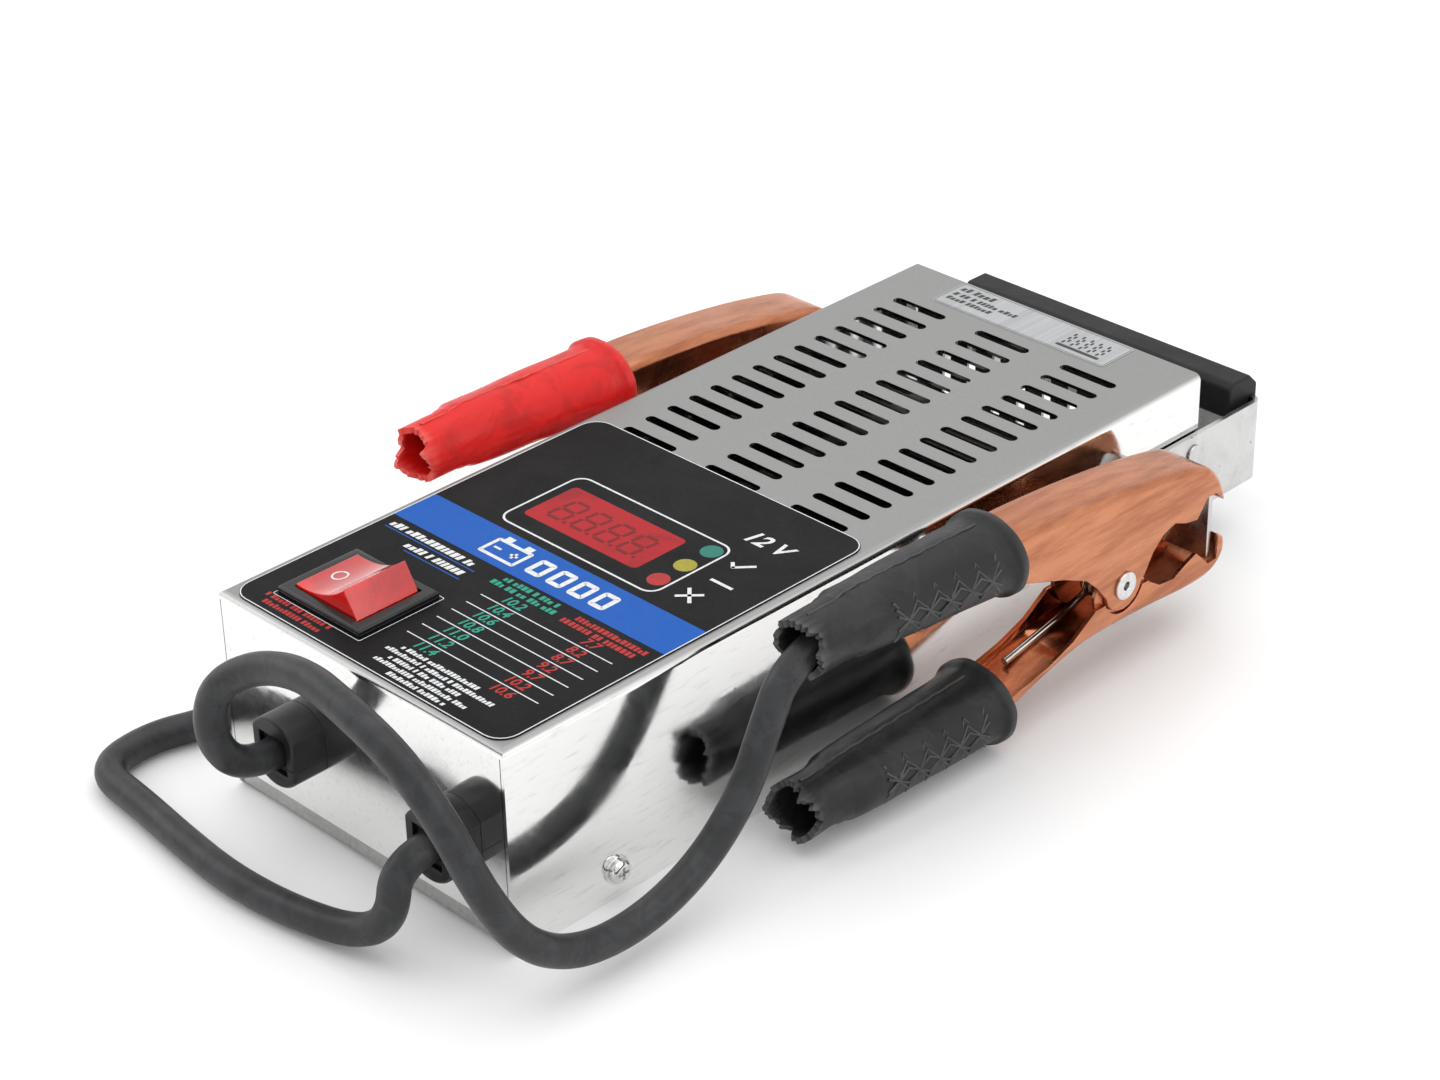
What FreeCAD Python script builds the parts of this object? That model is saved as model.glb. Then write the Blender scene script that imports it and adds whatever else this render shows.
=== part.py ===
"""Hand-held car battery load tester with two cable clamps, millimetres, +Z up.

The sheet-metal case lies on its side flanges. X runs across the case, Y runs
from the front panel with the cable glands to the carrying handle, and the
origin is under the middle of the case, on the surface that it stands on.
While the pieces are made, Y is counted from the front panel; every piece is
moved to the final origin when it is written.
"""
import FreeCAD
import Part
import math
import os

V = FreeCAD.Vector
ALONG_X = V(1, 0, 0)
ALONG_Y = V(0, 1, 0)
ALONG_Z = V(0, 0, 1)

# ---------------------------------------------------------------- case
CASE_W = 105.0           # across the side flanges
CASE_L = 255.0           # front panel to the open rear edge
CASE_H = 57.5            # stands on the side flanges
SHEET = 1.0              # stainless sheet of the cover and the tray
BEND_R = 2.0             # outer bend radius
FRONT_LIFT = 6.5         # the front flange stops this far above the surface
CORNER_SLIT = 0.25       # between the front flange and each side flange
FLANGE_CORNER_R = 3.0    # rounded lower corners of the side flanges
FIT_GAP = 0.2            # between the tray and the cover
TRAY_LIFT = 1.2          # underside of the tray above the surface
TRAY_SIDE_H = 15.0       # side walls of the tray
TRAY_LIP_H = 11.0        # front lip of the tray
REAR_INSET = 0.6         # rear wall of the tray behind the cover's edge

# ---------------------------------------------------------------- vents
VENT_ROWS = 14
VENT_COLUMNS = 3
VENT_FIRST_Y = 126.8
VENT_PITCH_Y = 8.18
VENT_PITCH_X = 30.8
VENT_LONG = 18.9
VENT_WIDE = 3.1
REAR_VENTS = 9
REAR_VENT_H = 24.0

# ---------------------------------------------------------------- front overlay
LABEL_W = 99.6
LABEL_Y0 = 1.8
LABEL_Y1 = 125.4
LABEL_T = 0.3
LABEL_R = 6.0
INLAY_GAP = 0.02         # film pieces sit in the overlay with this gap

WINDOW_X = -5.25         # middle of the red display window
WINDOW_Y = 86.2
WINDOW_W = 41.2
WINDOW_L = 18.6
WINDOW_R = 1.6
WINDOW_DROP = 0.2        # the lens reaches this far below the cover
LAMP_X = 23.2
LAMP_Y = (77.6, 86.8, 96.0)
LAMP_R = 3.0

STICKER_W = 62.5
STICKER_L = 14.5
STICKER_T = 0.15
STICKER_X = -1.0
STICKER_REAR = 0.6       # kept back from the cover's rear edge

# ---------------------------------------------------------------- switch
SWITCH_X = -24.6
SWITCH_Y = 22.0
BEZEL_W = 31.2
BEZEL_L = 25.4
BEZEL_T = 2.2
BODY_W = 28.0            # housing through the panel cut-out
BODY_L = 22.0
BODY_DEPTH = 20.0
CUTOUT_GAP = 0.2
WELL_W = 24.6            # opening that the rocker turns in
WELL_L = 20.0
WELL_DEPTH = 14.0        # below the bezel's top
ROCKER_L = 19.4
ROCKER_HALF = 9.8        # ridge to the middle plane, straight up
ROCKER_TOP = 8.1         # ridge above the pivot
ROCKER_FOOT = 11.8       # end face at the height of the pivot
ROCKER_DISH = 2.0        # hollow of the top
ROCKER_TILT = 17.0       # each way
PIVOT_DROP = 4.1         # pivot below the bezel's top
TRUNNION_R = 1.5
TRUNNION_GAP = 0.06
TRUNNION_REACH = 0.8
SPADE_W = 6.3
SPADE_T = 0.8
SPADE_DROP = 8.0
SPADE_X = 9.2            # from the middle of the switch
SPADE_Y = 5.6

# ---------------------------------------------------------------- glands and cable
CABLE_D = 8.2
GLAND_X = (-21.7, 35.3)  # black cable, red cable
GLAND_Z = 28.5
GLAND_HEAD_R = 9.5
GLAND_HALF_W = 7.8
GLAND_HEAD = 10.0
GLAND_POCKET = 1.5       # square recess round the cable
GLAND_POCKET_W = 9.8
GLAND_NECK_R = 7.6
GLAND_NECK_HALF_W = 6.2
GLAND_HOLE_GAP = 0.1
GLAND_TAIL = 9.0         # reach behind the front panel
GLAND_SNAP = 0.8
GLAND_SPLIT = 2.4        # parting line below the cable's middle
BORE_GAP = 0.05

# ---------------------------------------------------------------- handle
STRAP_T = 1.6
STRAP_GAP = 0.5          # between the arms and the cover
STRAP_Z0 = 16.3
STRAP_H = 24.4
STRAP_REAR = 282.0       # outer face of the rear run
STRAP_R = 3.6            # outer corner radius
TAB_Y = 230.0            # rear face of the parking tabs
TAB_REACH = 77.2         # free end of the tabs from the middle
TAB_Z0 = 20.6
TAB_H = 19.8
GRIP_X = (-47.0, 51.0)
GRIP_Y = (271.2, 283.6)
GRIP_Z = (36.5, 47.2)
GRIP_FRONT_CUT = 1.6
GRIP_REAR_CUT = 3.4
RIVET_AT = ((251.0, 35.2), (239.5, 22.5))
RIVET_R = 1.7
RIVET_HEAD_R = 2.8
RIVET_HEAD_T = 0.7

# ---------------------------------------------------------------- case screws
SCREW_AT = ((33.2, 8.3), (222.0, 8.3))
SCREW_R = 1.7
SCREW_HOLE_R = 2.0
SCREW_HEAD_R = 3.1
SCREW_HEAD_T = 2.1
SCREW_REACH = 5.0
WASHER_R = 3.8
WASHER_T = 0.7
LUG_HOLE_AT = (4.0, 4.1)
LUG_HOLE_R = 1.2

# ---------------------------------------------------------------- electronics
BOARD_X = (-38.0, 32.0)
BOARD_Y = (69.0, 104.0)
BOARD_T = 1.6
BOARD_DROP = 9.0         # board's top below the cover
MODULE_W = 50.3
MODULE_L = 19.0
MODULE_T = 8.0
LED_R = 2.5
LED_T = 7.6
STUD_R = 1.5
STUD_INSET = 4.0
STUD_LONG = 15.0
NUT_R = 2.8
NUT_T = 2.4
CHIP = (20.0, 7.6, 3.4)

# ---------------------------------------------------------------- load element
RIBBON_T = 0.9
RIBBON_H = 9.0
RIBBON_PASSES = 14
RIBBON_PITCH = 8.18
RIBBON_FIRST_Y = 124.0
RIBBON_HALF = 38.0
RIBBON_Z = 27.0
RAIL_X = 26.0
RAIL_T = 5.0
RAIL_H = 31.0
NOTCH_GAP = 0.15
BAR_T = 1.6
BAR_W = 7.5

# ---------------------------------------------------------------- clamps
CLAMP_X = 70.0           # middle plane of each clamp
JAW_W = 17.5
JAW_T = 1.2
JAW_BEND_R = 2.4         # outer bend radius of both halves
EAR_GAP = 0.15
PIN_Y = 191.5
PIN_Z = 29.1
PIN_R = 2.4
PIN_BORE = 1.2
PIN_GAP = 0.05
PIN_HEAD_R = 3.9
PIN_HEAD_T = 0.9
LOBE_R = 7.3
LOBE_CLEAR = 0.8
EAR_R = 10.6
SHOULDER = 13.0          # half length of the step in the lower half's outer walls
SHOULDER_DROP = 3.0      # its height below the pin
COIL_R = 5.2
COIL_WIRE = 2.2
COIL_TURNS = 3
SPRING_FOOT = (157.0, 16.5)  # ends of the two legs, Y and Z
SPRING_HEAD = (162.0, 56.6)
# heights past the far side of each bent blank, where its trimming cut ends
UPPER_BLANK_FAR_Z = -60.0
LOWER_BLANK_FAR_Z = 140.0
# black lead's end behind the front panel, where it meets its copper bar
LEAD_END_Y = 62.0
# parts under the board: x from, x to, y from, y to (from the board's middle), height
REGULATOR = (10.0, 20.0, -8.0, -3.5, 9.0)
LEAD_SOCKET = (-32.0, -24.0, -6.0, 6.0, 6.0)
CHIP_SHIFT = 8.0
CAPACITOR_X, CAPACITOR_SHIFT, CAPACITOR_H, CAPACITOR_R = 15.0, 7.0, 9.0, 4.0
SLEEVE_T = 1.7
SLEEVE_LONG = 69.0
COLLAR_LONG = 3.2
COLLAR_OUT = 1.4
NECK_LONG = 13.0
SLEEVE_BIG = (12.0, 10.0)    # half width and half height at the collar
SLEEVE_SMALL = (9.8, 8.9)    # at the start of the neck
NECK_HALF = (8.1, 7.9)
UPPER_SLEEVE = (147.5, 54.6, 57.4)   # collar end Y, axis Z at the collar, at the neck
LOWER_SLEEVE = (144.5, 11.9, 11.6)

# ---------------------------------------------------------------- cable routes
BLACK_ROUTE = (
    (-21.7, -8.5, 28.5), (-21.7, -19.0, 28.5), (-22.5, -27.0, 39.5),
    (-21.0, -26.5, 54.5), (-12.0, -20.5, 62.5), (7.0, -20.0, 69.0),
    (28.0, -24.0, 70.0), (47.0, -25.0, 65.5), (60.0, -24.0, 53.5),
    (67.5, -21.0, 37.0), (71.5, -13.0, 20.5), (72.5, 2.0, 10.5),
    (72.5, 22.0, 8.5), (72.0, 42.0, 14.0), (72.0, 57.0, 27.0),
    (71.3, 65.5, 42.0), (70.5, 73.6, 54.8), (70.0, 90.0, 57.4))
RED_ROUTE = (
    (35.3, -8.5, 28.5), (35.3, -19.5, 28.5), (35.0, -21.5, 14.0),
    (25.0, -24.0, 6.0), (5.0, -28.0, 4.4), (-16.0, -30.0, 4.5),
    (-38.0, -28.0, 4.4), (-58.0, -25.5, 4.5), (-78.0, -24.0, 4.4),
    (-81.0, -6.0, 4.4), (-75.0, 9.0, 4.5), (-72.0, 28.0, 5.5),
    (-70.5, 50.0, 9.0), (-70.0, 70.0, 11.6), (-70.0, 90.0, 11.6))

ORIGIN_Y = (GRIP_Y[1] - GLAND_HEAD) / 2.0
TOP = CASE_H
HALF = CASE_W / 2.0


# ---------------------------------------------------------------- helpers
def box(x0, x1, y0, y1, z0, z1):
    return Part.makeBox(x1 - x0, y1 - y0, z1 - z0, V(x0, y0, z0))


def rod(start, direction, length, radius):
    return Part.makeCylinder(radius, length, V(*start), V(*direction))


def prism(points, direction):
    """Closed outline of straight edges, pushed along a direction."""
    wire = Part.makePolygon([V(*p) for p in points] + [V(*points[0])])
    return Part.Face(wire).extrude(V(*direction))


def join(shapes):
    whole = shapes[0]
    if len(shapes) > 1:
        whole = whole.fuse(shapes[1:])
    return whole.removeSplitter()


def round_edges(shape, radius, axis, wanted):
    """Fillet the straight edges along an axis whose two ends pass the test."""
    edges = []
    for edge in shape.Edges:
        ends = [vertex.Point for vertex in edge.Vertexes]
        if len(ends) != 2 or not isinstance(edge.Curve, Part.Line):
            continue
        along = abs((ends[1] - ends[0]).dot(axis))
        if near(along, edge.Length) and wanted(ends[0]) and wanted(ends[1]):
            edges.append(edge)
    return shape.makeFillet(radius, edges)


def near(value, target):
    return abs(value - target) < 1e-4


def tile(x0, x1, y0, y1, z0, z1, radius):
    """Plate with rounded corners seen from above."""
    return round_edges(box(x0, x1, y0, y1, z0, z1), radius, ALONG_Z, lambda p: True)


def slot_cutter(x, y, z0, z1, long_side, wide_side):
    """Round-ended slot along X."""
    reach = (long_side - wide_side) / 2.0
    bar = box(x - reach, x + reach, y - wide_side / 2.0, y + wide_side / 2.0, z0, z1)
    ends = [rod((x + side * reach, y, z0), (0, 0, 1), z1 - z0, wide_side / 2.0)
            for side in (-1, 1)]
    return join([bar] + ends)


def mirrored(shape):
    return shape.mirror(V(0, 0, 0), V(1, 0, 0))


def write(name, solids):
    """Move the piece to the final origin and write its STEP file."""
    whole = Part.makeCompound(solids) if len(solids) > 1 else solids[0]
    whole = whole.copy()
    whole.translate(V(0, -ORIGIN_Y, 0))
    if not whole.isValid() or not whole.Solids:
        raise ValueError(name + " is not a valid solid")
    whole.exportStep("parts/" + name + ".step")
    print(f"{name:28s} solids {len(whole.Solids):2d}  volume {whole.Volume:10.1f}")


# ---------------------------------------------------------------- case
def vent_places():
    for column in range(VENT_COLUMNS):
        x = (column - (VENT_COLUMNS - 1) / 2.0) * VENT_PITCH_X
        for row in range(VENT_ROWS):
            yield x, VENT_FIRST_Y + row * VENT_PITCH_Y


def cover():
    """Bent sheet: top, two side flanges and a shorter front flange."""
    outer = box(-HALF, HALF, 0, CASE_L, 0, TOP)
    outer = round_edges(outer, BEND_R, ALONG_Y, lambda p: near(p.z, TOP))
    outer = outer.common(front_bend(BEND_R, 0.0))
    inner = box(-HALF + SHEET, HALF - SHEET, SHEET, CASE_L + 1, -1, TOP - SHEET)
    inner = round_edges(inner, BEND_R - SHEET, ALONG_Y, lambda p: near(p.z, TOP - SHEET))
    inner = inner.common(front_bend(BEND_R - SHEET, SHEET))
    shell = outer.cut(inner)
    mouth = HALF - SHEET - CORNER_SLIT
    cuts = [box(-mouth, mouth, -1, SHEET + 0.5, -1, FRONT_LIFT)]
    for side in (-1, 1):
        x = sorted((side * mouth, side * (mouth + CORNER_SLIT)))
        cuts.append(box(x[0], x[1], -1, SHEET + 0.5, -1, TOP - BEND_R))
    for x, y in vent_places():
        cuts.append(slot_cutter(x, y, TOP - 3, TOP + 1, VENT_LONG, VENT_WIDE))
    cuts.append(switch_cutout(TOP - 3, TOP + 1))
    cuts.append(window_cutout(TOP - 3, TOP + 1))
    for y in LAMP_Y:
        cuts.append(rod((LAMP_X, y, TOP - 3), (0, 0, 1), 4, LAMP_R + INLAY_GAP))
    for x in GLAND_X:
        cuts.append(gland_form(x, GLAND_NECK_R + GLAND_HOLE_GAP,
                               GLAND_NECK_HALF_W + GLAND_HOLE_GAP, -1, SHEET + 1))
    for side in (-1, 1):
        start = side * (HALF - SHEET - 1)
        for y, z in SCREW_AT:
            cuts.append(rod((start, y, z), (side, 0, 0), 4, SCREW_HOLE_R))
        for y, z in RIVET_AT:
            cuts.append(rod((start, y, z), (side, 0, 0), 4, RIVET_R))
    cuts.append(rod((-HALF - 1, LUG_HOLE_AT[0], LUG_HOLE_AT[1]), (1, 0, 0), 4, LUG_HOLE_R))
    shell = shell.cut(Part.makeCompound(cuts))
    return round_edges(shell, FLANGE_CORNER_R, ALONG_X, lambda p: near(p.z, 0) and (
        near(p.y, 0) or near(p.y, CASE_L)))


def front_bend(radius, inset):
    """Block with a rounded upper front edge, which trims the top bend."""
    block = box(-HALF - 5, HALF + 5, inset, CASE_L + 5, -5, TOP - inset)
    return round_edges(block, radius, ALONG_X, lambda p: near(p.y, inset) and near(
        p.z, TOP - inset))


def switch_cutout(z0, z1):
    half_w = BODY_W / 2.0 + CUTOUT_GAP
    half_l = BODY_L / 2.0 + CUTOUT_GAP
    return box(SWITCH_X - half_w, SWITCH_X + half_w, SWITCH_Y - half_l, SWITCH_Y + half_l,
               z0, z1)


def window_cutout(z0, z1):
    half_w = WINDOW_W / 2.0 + INLAY_GAP
    half_l = WINDOW_L / 2.0 + INLAY_GAP
    return tile(WINDOW_X - half_w, WINDOW_X + half_w, WINDOW_Y - half_l, WINDOW_Y + half_l,
                z0, z1, WINDOW_R)


def tray():
    """Bottom sheet with side walls, a front lip and a vented rear wall."""
    side = HALF - SHEET - FIT_GAP
    front = SHEET + FIT_GAP
    rear = CASE_L - REAR_INSET
    top = TOP - SHEET - FIT_GAP
    sheets = [box(-side, side, front, rear, TRAY_LIFT, TRAY_LIFT + SHEET)]
    for sign in (-1, 1):
        x = sorted((sign * side, sign * (side - SHEET)))
        sheets.append(box(x[0], x[1], front, rear, TRAY_LIFT, TRAY_LIFT + TRAY_SIDE_H))
    sheets.append(box(-side, side, front, front + SHEET, TRAY_LIFT, TRAY_LIFT + TRAY_LIP_H))
    inner = BEND_R
    sheets.append(box(-side + inner, side - inner, rear - SHEET, rear, TRAY_LIFT, top))
    whole = join(sheets)
    cuts = []
    for x, y in vent_places():
        cuts.append(slot_cutter(x, y, TRAY_LIFT - 1, TRAY_LIFT + SHEET + 1, VENT_LONG, VENT_WIDE))
    for index in range(REAR_VENTS):
        x = (index - (REAR_VENTS - 1) / 2.0) * VENT_LONG / 2.0
        cuts.append(box(x - VENT_WIDE / 2.0, x + VENT_WIDE / 2.0, rear - SHEET - 1, rear + 1,
                        TOP / 2.0 - REAR_VENT_H / 2.0, TOP / 2.0 + REAR_VENT_H / 2.0))
    for sign in (-1, 1):
        for y, z in SCREW_AT:
            cuts.append(rod((sign * (side - SHEET - 1), y, z), (sign, 0, 0), 3,
                            SCREW_R + BORE_GAP))
    return whole.cut(Part.makeCompound(cuts))


def case_screw(side, y, z):
    """Pan-head cross-recess screw whose washer lies on the cover."""
    seat = HALF + WASHER_T
    shank = rod((side * seat, y, z), (-side, 0, 0), WASHER_T + SHEET + SCREW_REACH, SCREW_R)
    head = rod((side * seat, y, z), (side, 0, 0), SCREW_HEAD_T, SCREW_HEAD_R)
    far = side * (seat + SCREW_HEAD_T)
    rim = [edge for edge in head.Edges
           if isinstance(edge.Curve, Part.Circle) and near(edge.Curve.Center.x, far)]
    head = head.makeFillet(SCREW_HEAD_T * 0.7, rim)
    arm = SCREW_HEAD_R * 0.55
    slot = SCREW_HEAD_R * 0.13
    x = sorted((far, far - side * SCREW_HEAD_T * 0.6))
    cross = [box(x[0], x[1], y - arm, y + arm, z - slot, z + slot),
             box(x[0], x[1], y - slot, y + slot, z - arm, z + arm)]
    return join([shank, head]).cut(Part.makeCompound(cross))


def washer(side, y, z):
    ring = rod((side * HALF, y, z), (side, 0, 0), WASHER_T, WASHER_R)
    return ring.cut(rod((side * HALF, y, z), (side, 0, 0), WASHER_T, SCREW_R + BORE_GAP))


# ---------------------------------------------------------------- handle
def strap():
    """One strip: two arms, the rear run and two tabs turned outwards."""
    inner = HALF + STRAP_GAP
    outer = inner + STRAP_T
    z0, z1 = STRAP_Z0, STRAP_Z0 + STRAP_H
    pieces = [box(-outer, outer, STRAP_REAR - STRAP_T, STRAP_REAR, z0, z1)]
    for side in (-1, 1):
        x = sorted((side * inner, side * outer))
        pieces.append(box(x[0], x[1], TAB_Y - STRAP_T, STRAP_REAR, z0, z1))
    bar = round_edges(join(pieces), STRAP_R, ALONG_Z, lambda p: near(p.y, STRAP_REAR))
    bar = round_edges(bar, STRAP_R - STRAP_T, ALONG_Z,
                      lambda p: near(p.y, STRAP_REAR - STRAP_T))
    tabs = []
    for side in (-1, 1):
        x = sorted((side * inner, side * TAB_REACH))
        tabs.append(box(x[0], x[1], TAB_Y - STRAP_T, TAB_Y, TAB_Z0, TAB_Z0 + TAB_H))
    bar = join([bar] + tabs)
    holes = []
    for side in (-1, 1):
        for y, z in RIVET_AT:
            holes.append(rod((side * (inner - 1), y, z), (side, 0, 0), STRAP_T + 2, RIVET_R))
    return bar.cut(Part.makeCompound(holes))


def strap_rivet(side, y, z):
    inner_face = HALF - SHEET
    outer_face = HALF + STRAP_GAP + STRAP_T
    shank = rod((side * inner_face, y, z), (side, 0, 0), outer_face - inner_face, RIVET_R)
    outside = rod((side * outer_face, y, z), (side, 0, 0), RIVET_HEAD_T, RIVET_HEAD_R)
    inside = rod((side * inner_face, y, z), (-side, 0, 0), RIVET_HEAD_T, RIVET_HEAD_R)
    return join([shank, outside, inside])


def grip():
    """Rubber U-profile pushed over the upper edge of the rear run."""
    y0, y1 = GRIP_Y
    z0, z1 = GRIP_Z
    outline = [(y0, z0), (y1, z0), (y1, z1 - GRIP_REAR_CUT), (y1 - GRIP_REAR_CUT, z1),
               (y0 + GRIP_FRONT_CUT, z1), (y0, z1 - GRIP_FRONT_CUT)]
    bar = prism([(GRIP_X[0], y, z) for y, z in outline], (GRIP_X[1] - GRIP_X[0], 0, 0))
    groove = box(GRIP_X[0] - 1, GRIP_X[1] + 1, STRAP_REAR - STRAP_T, STRAP_REAR,
                 z0 - 1, STRAP_Z0 + STRAP_H)
    return bar.cut(groove)


# ---------------------------------------------------------------- overlay
def overlay():
    plate = tile(-LABEL_W / 2.0, LABEL_W / 2.0, LABEL_Y0, LABEL_Y1, TOP, TOP + LABEL_T, LABEL_R)
    cuts = [switch_cutout(TOP - 1, TOP + 1), window_cutout(TOP - 1, TOP + 1)]
    for y in LAMP_Y:
        cuts.append(rod((LAMP_X, y, TOP - 1), (0, 0, 1), 3, LAMP_R + INLAY_GAP))
    return plate.cut(Part.makeCompound(cuts))


def display_lens():
    return tile(WINDOW_X - WINDOW_W / 2.0, WINDOW_X + WINDOW_W / 2.0,
                WINDOW_Y - WINDOW_L / 2.0, WINDOW_Y + WINDOW_L / 2.0,
                TOP - SHEET - WINDOW_DROP, TOP + LABEL_T, WINDOW_R)


def lamp_window(y):
    return rod((LAMP_X, y, TOP - SHEET), (0, 0, 1), SHEET + LABEL_T, LAMP_R)


def heat_sticker():
    rear = CASE_L - STICKER_REAR
    return tile(STICKER_X - STICKER_W / 2.0, STICKER_X + STICKER_W / 2.0,
                rear - STICKER_L, rear, TOP, TOP + STICKER_T, 1.5)


# ---------------------------------------------------------------- switch
def switch_housing():
    bezel_z = TOP + LABEL_T
    top = bezel_z + BEZEL_T
    bezel = box(SWITCH_X - BEZEL_W / 2.0, SWITCH_X + BEZEL_W / 2.0,
                SWITCH_Y - BEZEL_L / 2.0, SWITCH_Y + BEZEL_L / 2.0, bezel_z, top)
    rim = [edge for edge in bezel.Edges
           if all(near(vertex.Point.z, top) for vertex in edge.Vertexes)]
    bezel = bezel.makeChamfer(0.6, rim)
    body = box(SWITCH_X - BODY_W / 2.0, SWITCH_X + BODY_W / 2.0,
               SWITCH_Y - BODY_L / 2.0, SWITCH_Y + BODY_L / 2.0, bezel_z - BODY_DEPTH, bezel_z)
    well = box(SWITCH_X - WELL_W / 2.0, SWITCH_X + WELL_W / 2.0,
               SWITCH_Y - WELL_L / 2.0, SWITCH_Y + WELL_L / 2.0, top - WELL_DEPTH, top + 1)
    pin_hole = rod((SWITCH_X, SWITCH_Y - BODY_L, top - PIVOT_DROP), (0, 1, 0), 2 * BODY_L,
                   TRUNNION_R + TRUNNION_GAP)
    inside = box(SWITCH_X - BODY_W / 2.0, SWITCH_X + BODY_W / 2.0,
                 SWITCH_Y - WELL_L / 2.0 - TRUNNION_REACH - TRUNNION_GAP,
                 SWITCH_Y + WELL_L / 2.0 + TRUNNION_REACH + TRUNNION_GAP, 0, TOP + 9)
    return join([bezel, body]).cut(well).cut(pin_hole.common(inside))


def switch_rocker():
    """Dished rocker at rest, with the end at -X pressed down."""
    pivot_z = TOP + LABEL_T + BEZEL_T - PIVOT_DROP
    y = SWITCH_Y - ROCKER_L / 2.0

    def point(x, z):
        return V(SWITCH_X + x, y, pivot_z + z)

    corners = [point(ROCKER_HALF, ROCKER_TOP), point(ROCKER_FOOT, 0.0), point(8.0, -6.0),
               point(-8.0, -6.0), point(-ROCKER_FOOT, 0.0), point(-ROCKER_HALF, ROCKER_TOP)]
    edges = [Part.LineSegment(a, b).toShape() for a, b in zip(corners, corners[1:])]
    dish = Part.Arc(corners[-1], point(0.0, ROCKER_TOP - ROCKER_DISH), corners[0]).toShape()
    body = Part.Face(Part.Wire(edges + [dish])).extrude(V(0, ROCKER_L, 0))
    reach = WELL_L / 2.0 + TRUNNION_REACH
    pin = rod((SWITCH_X, SWITCH_Y - reach, pivot_z), (0, 1, 0), 2 * reach, TRUNNION_R)
    whole = join([body, pin])
    whole.rotate(V(SWITCH_X, SWITCH_Y, pivot_z), V(0, 1, 0), -ROCKER_TILT)
    return whole


def switch_spades():
    bottom = TOP + LABEL_T - BODY_DEPTH
    blades = []
    for sx in (-1, 1):
        for sy in (-1, 1):
            x = SWITCH_X + sx * SPADE_X
            y = SWITCH_Y + sy * SPADE_Y
            blades.append(box(x - SPADE_T / 2.0, x + SPADE_T / 2.0, y - SPADE_W / 2.0,
                              y + SPADE_W / 2.0, bottom - SPADE_DROP, bottom))
    return blades


# ---------------------------------------------------------------- glands
def gland_form(x, radius, half_w, y0, y1):
    """Round section with flat sides, along Y."""
    disc = rod((x, y0, GLAND_Z), (0, 1, 0), y1 - y0, radius)
    return disc.common(box(x - half_w, x + half_w, y0, y1, 0, TOP))


def gland(x):
    """Two-part strain relief: head outside, snap-in neck inside."""
    head = gland_form(x, GLAND_HEAD_R, GLAND_HALF_W, -GLAND_HEAD, 0)
    rim = [edge for edge in head.Edges
           if all(near(vertex.Point.y, -GLAND_HEAD) for vertex in edge.Vertexes)]
    head = head.makeFillet(0.8, rim)
    neck = gland_form(x, GLAND_NECK_R, GLAND_NECK_HALF_W, 0, GLAND_TAIL)
    snap = gland_form(x, GLAND_NECK_R + GLAND_SNAP, GLAND_NECK_HALF_W, SHEET + GLAND_HOLE_GAP,
                      SHEET + GLAND_HOLE_GAP + 3.0)
    half = GLAND_POCKET_W / 2.0
    pocket = box(x - half, x + half, -GLAND_HEAD - 1, -GLAND_HEAD + GLAND_POCKET,
                 GLAND_Z - half, GLAND_Z + half)
    bore = rod((x, -GLAND_HEAD - 1, GLAND_Z), (0, 1, 0), GLAND_HEAD + GLAND_TAIL + 2,
               CABLE_D / 2.0 + BORE_GAP)
    whole = join([head, neck, snap]).cut(pocket).cut(bore)
    split = GLAND_Z - GLAND_SPLIT
    upper = whole.common(box(x - 20, x + 20, -20, 20, split, TOP + 20))
    lower = whole.common(box(x - 20, x + 20, -20, 20, -20, split))
    return upper, lower


# ---------------------------------------------------------------- electronics
def board_top():
    return TOP - SHEET - BOARD_DROP


def stud_places():
    return [(x, y) for x in (BOARD_X[0] + STUD_INSET, BOARD_X[1] - STUD_INSET)
            for y in (BOARD_Y[0] + STUD_INSET, BOARD_Y[1] - STUD_INSET)]


def circuit_board():
    top = board_top()
    plate = box(BOARD_X[0], BOARD_X[1], BOARD_Y[0], BOARD_Y[1], top - BOARD_T, top)
    holes = [rod((x, y, top - 5), (0, 0, 1), 10, STUD_R + BORE_GAP) for x, y in stud_places()]
    return plate.cut(Part.makeCompound(holes))


def board_studs():
    """Welded studs under the cover, each with a nut above and below the board."""
    top = board_top()
    studs = []
    nuts = []
    for x, y in stud_places():
        studs.append(rod((x, y, TOP - SHEET - STUD_LONG), (0, 0, 1), STUD_LONG, STUD_R))
        for z in (top, top - BOARD_T - NUT_T):
            corners = [(x + NUT_R * math.cos(math.radians(60 * i)),
                        y + NUT_R * math.sin(math.radians(60 * i)), z) for i in range(6)]
            nut = prism(corners, (0, 0, NUT_T))
            nuts.append(nut.cut(rod((x, y, z - 1), (0, 0, 1), NUT_T + 2, STUD_R + BORE_GAP)))
    return studs, nuts


def display_module():
    top = board_top()
    block = box(WINDOW_X - MODULE_W / 2.0, WINDOW_X + MODULE_W / 2.0,
                WINDOW_Y - MODULE_L / 2.0, WINDOW_Y + MODULE_L / 2.0, top, top + MODULE_T)
    return block


def status_leds():
    top = board_top()
    lamps = []
    for y in LAMP_Y:
        body = rod((LAMP_X, y, top), (0, 0, 1), LED_T - LED_R, LED_R)
        dome = Part.makeSphere(LED_R, V(LAMP_X, y, top + LED_T - LED_R))
        lamps.append(join([body, dome.common(box(-90, 90, 0, 200, top + LED_T - LED_R, TOP))]))
    return lamps


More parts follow.
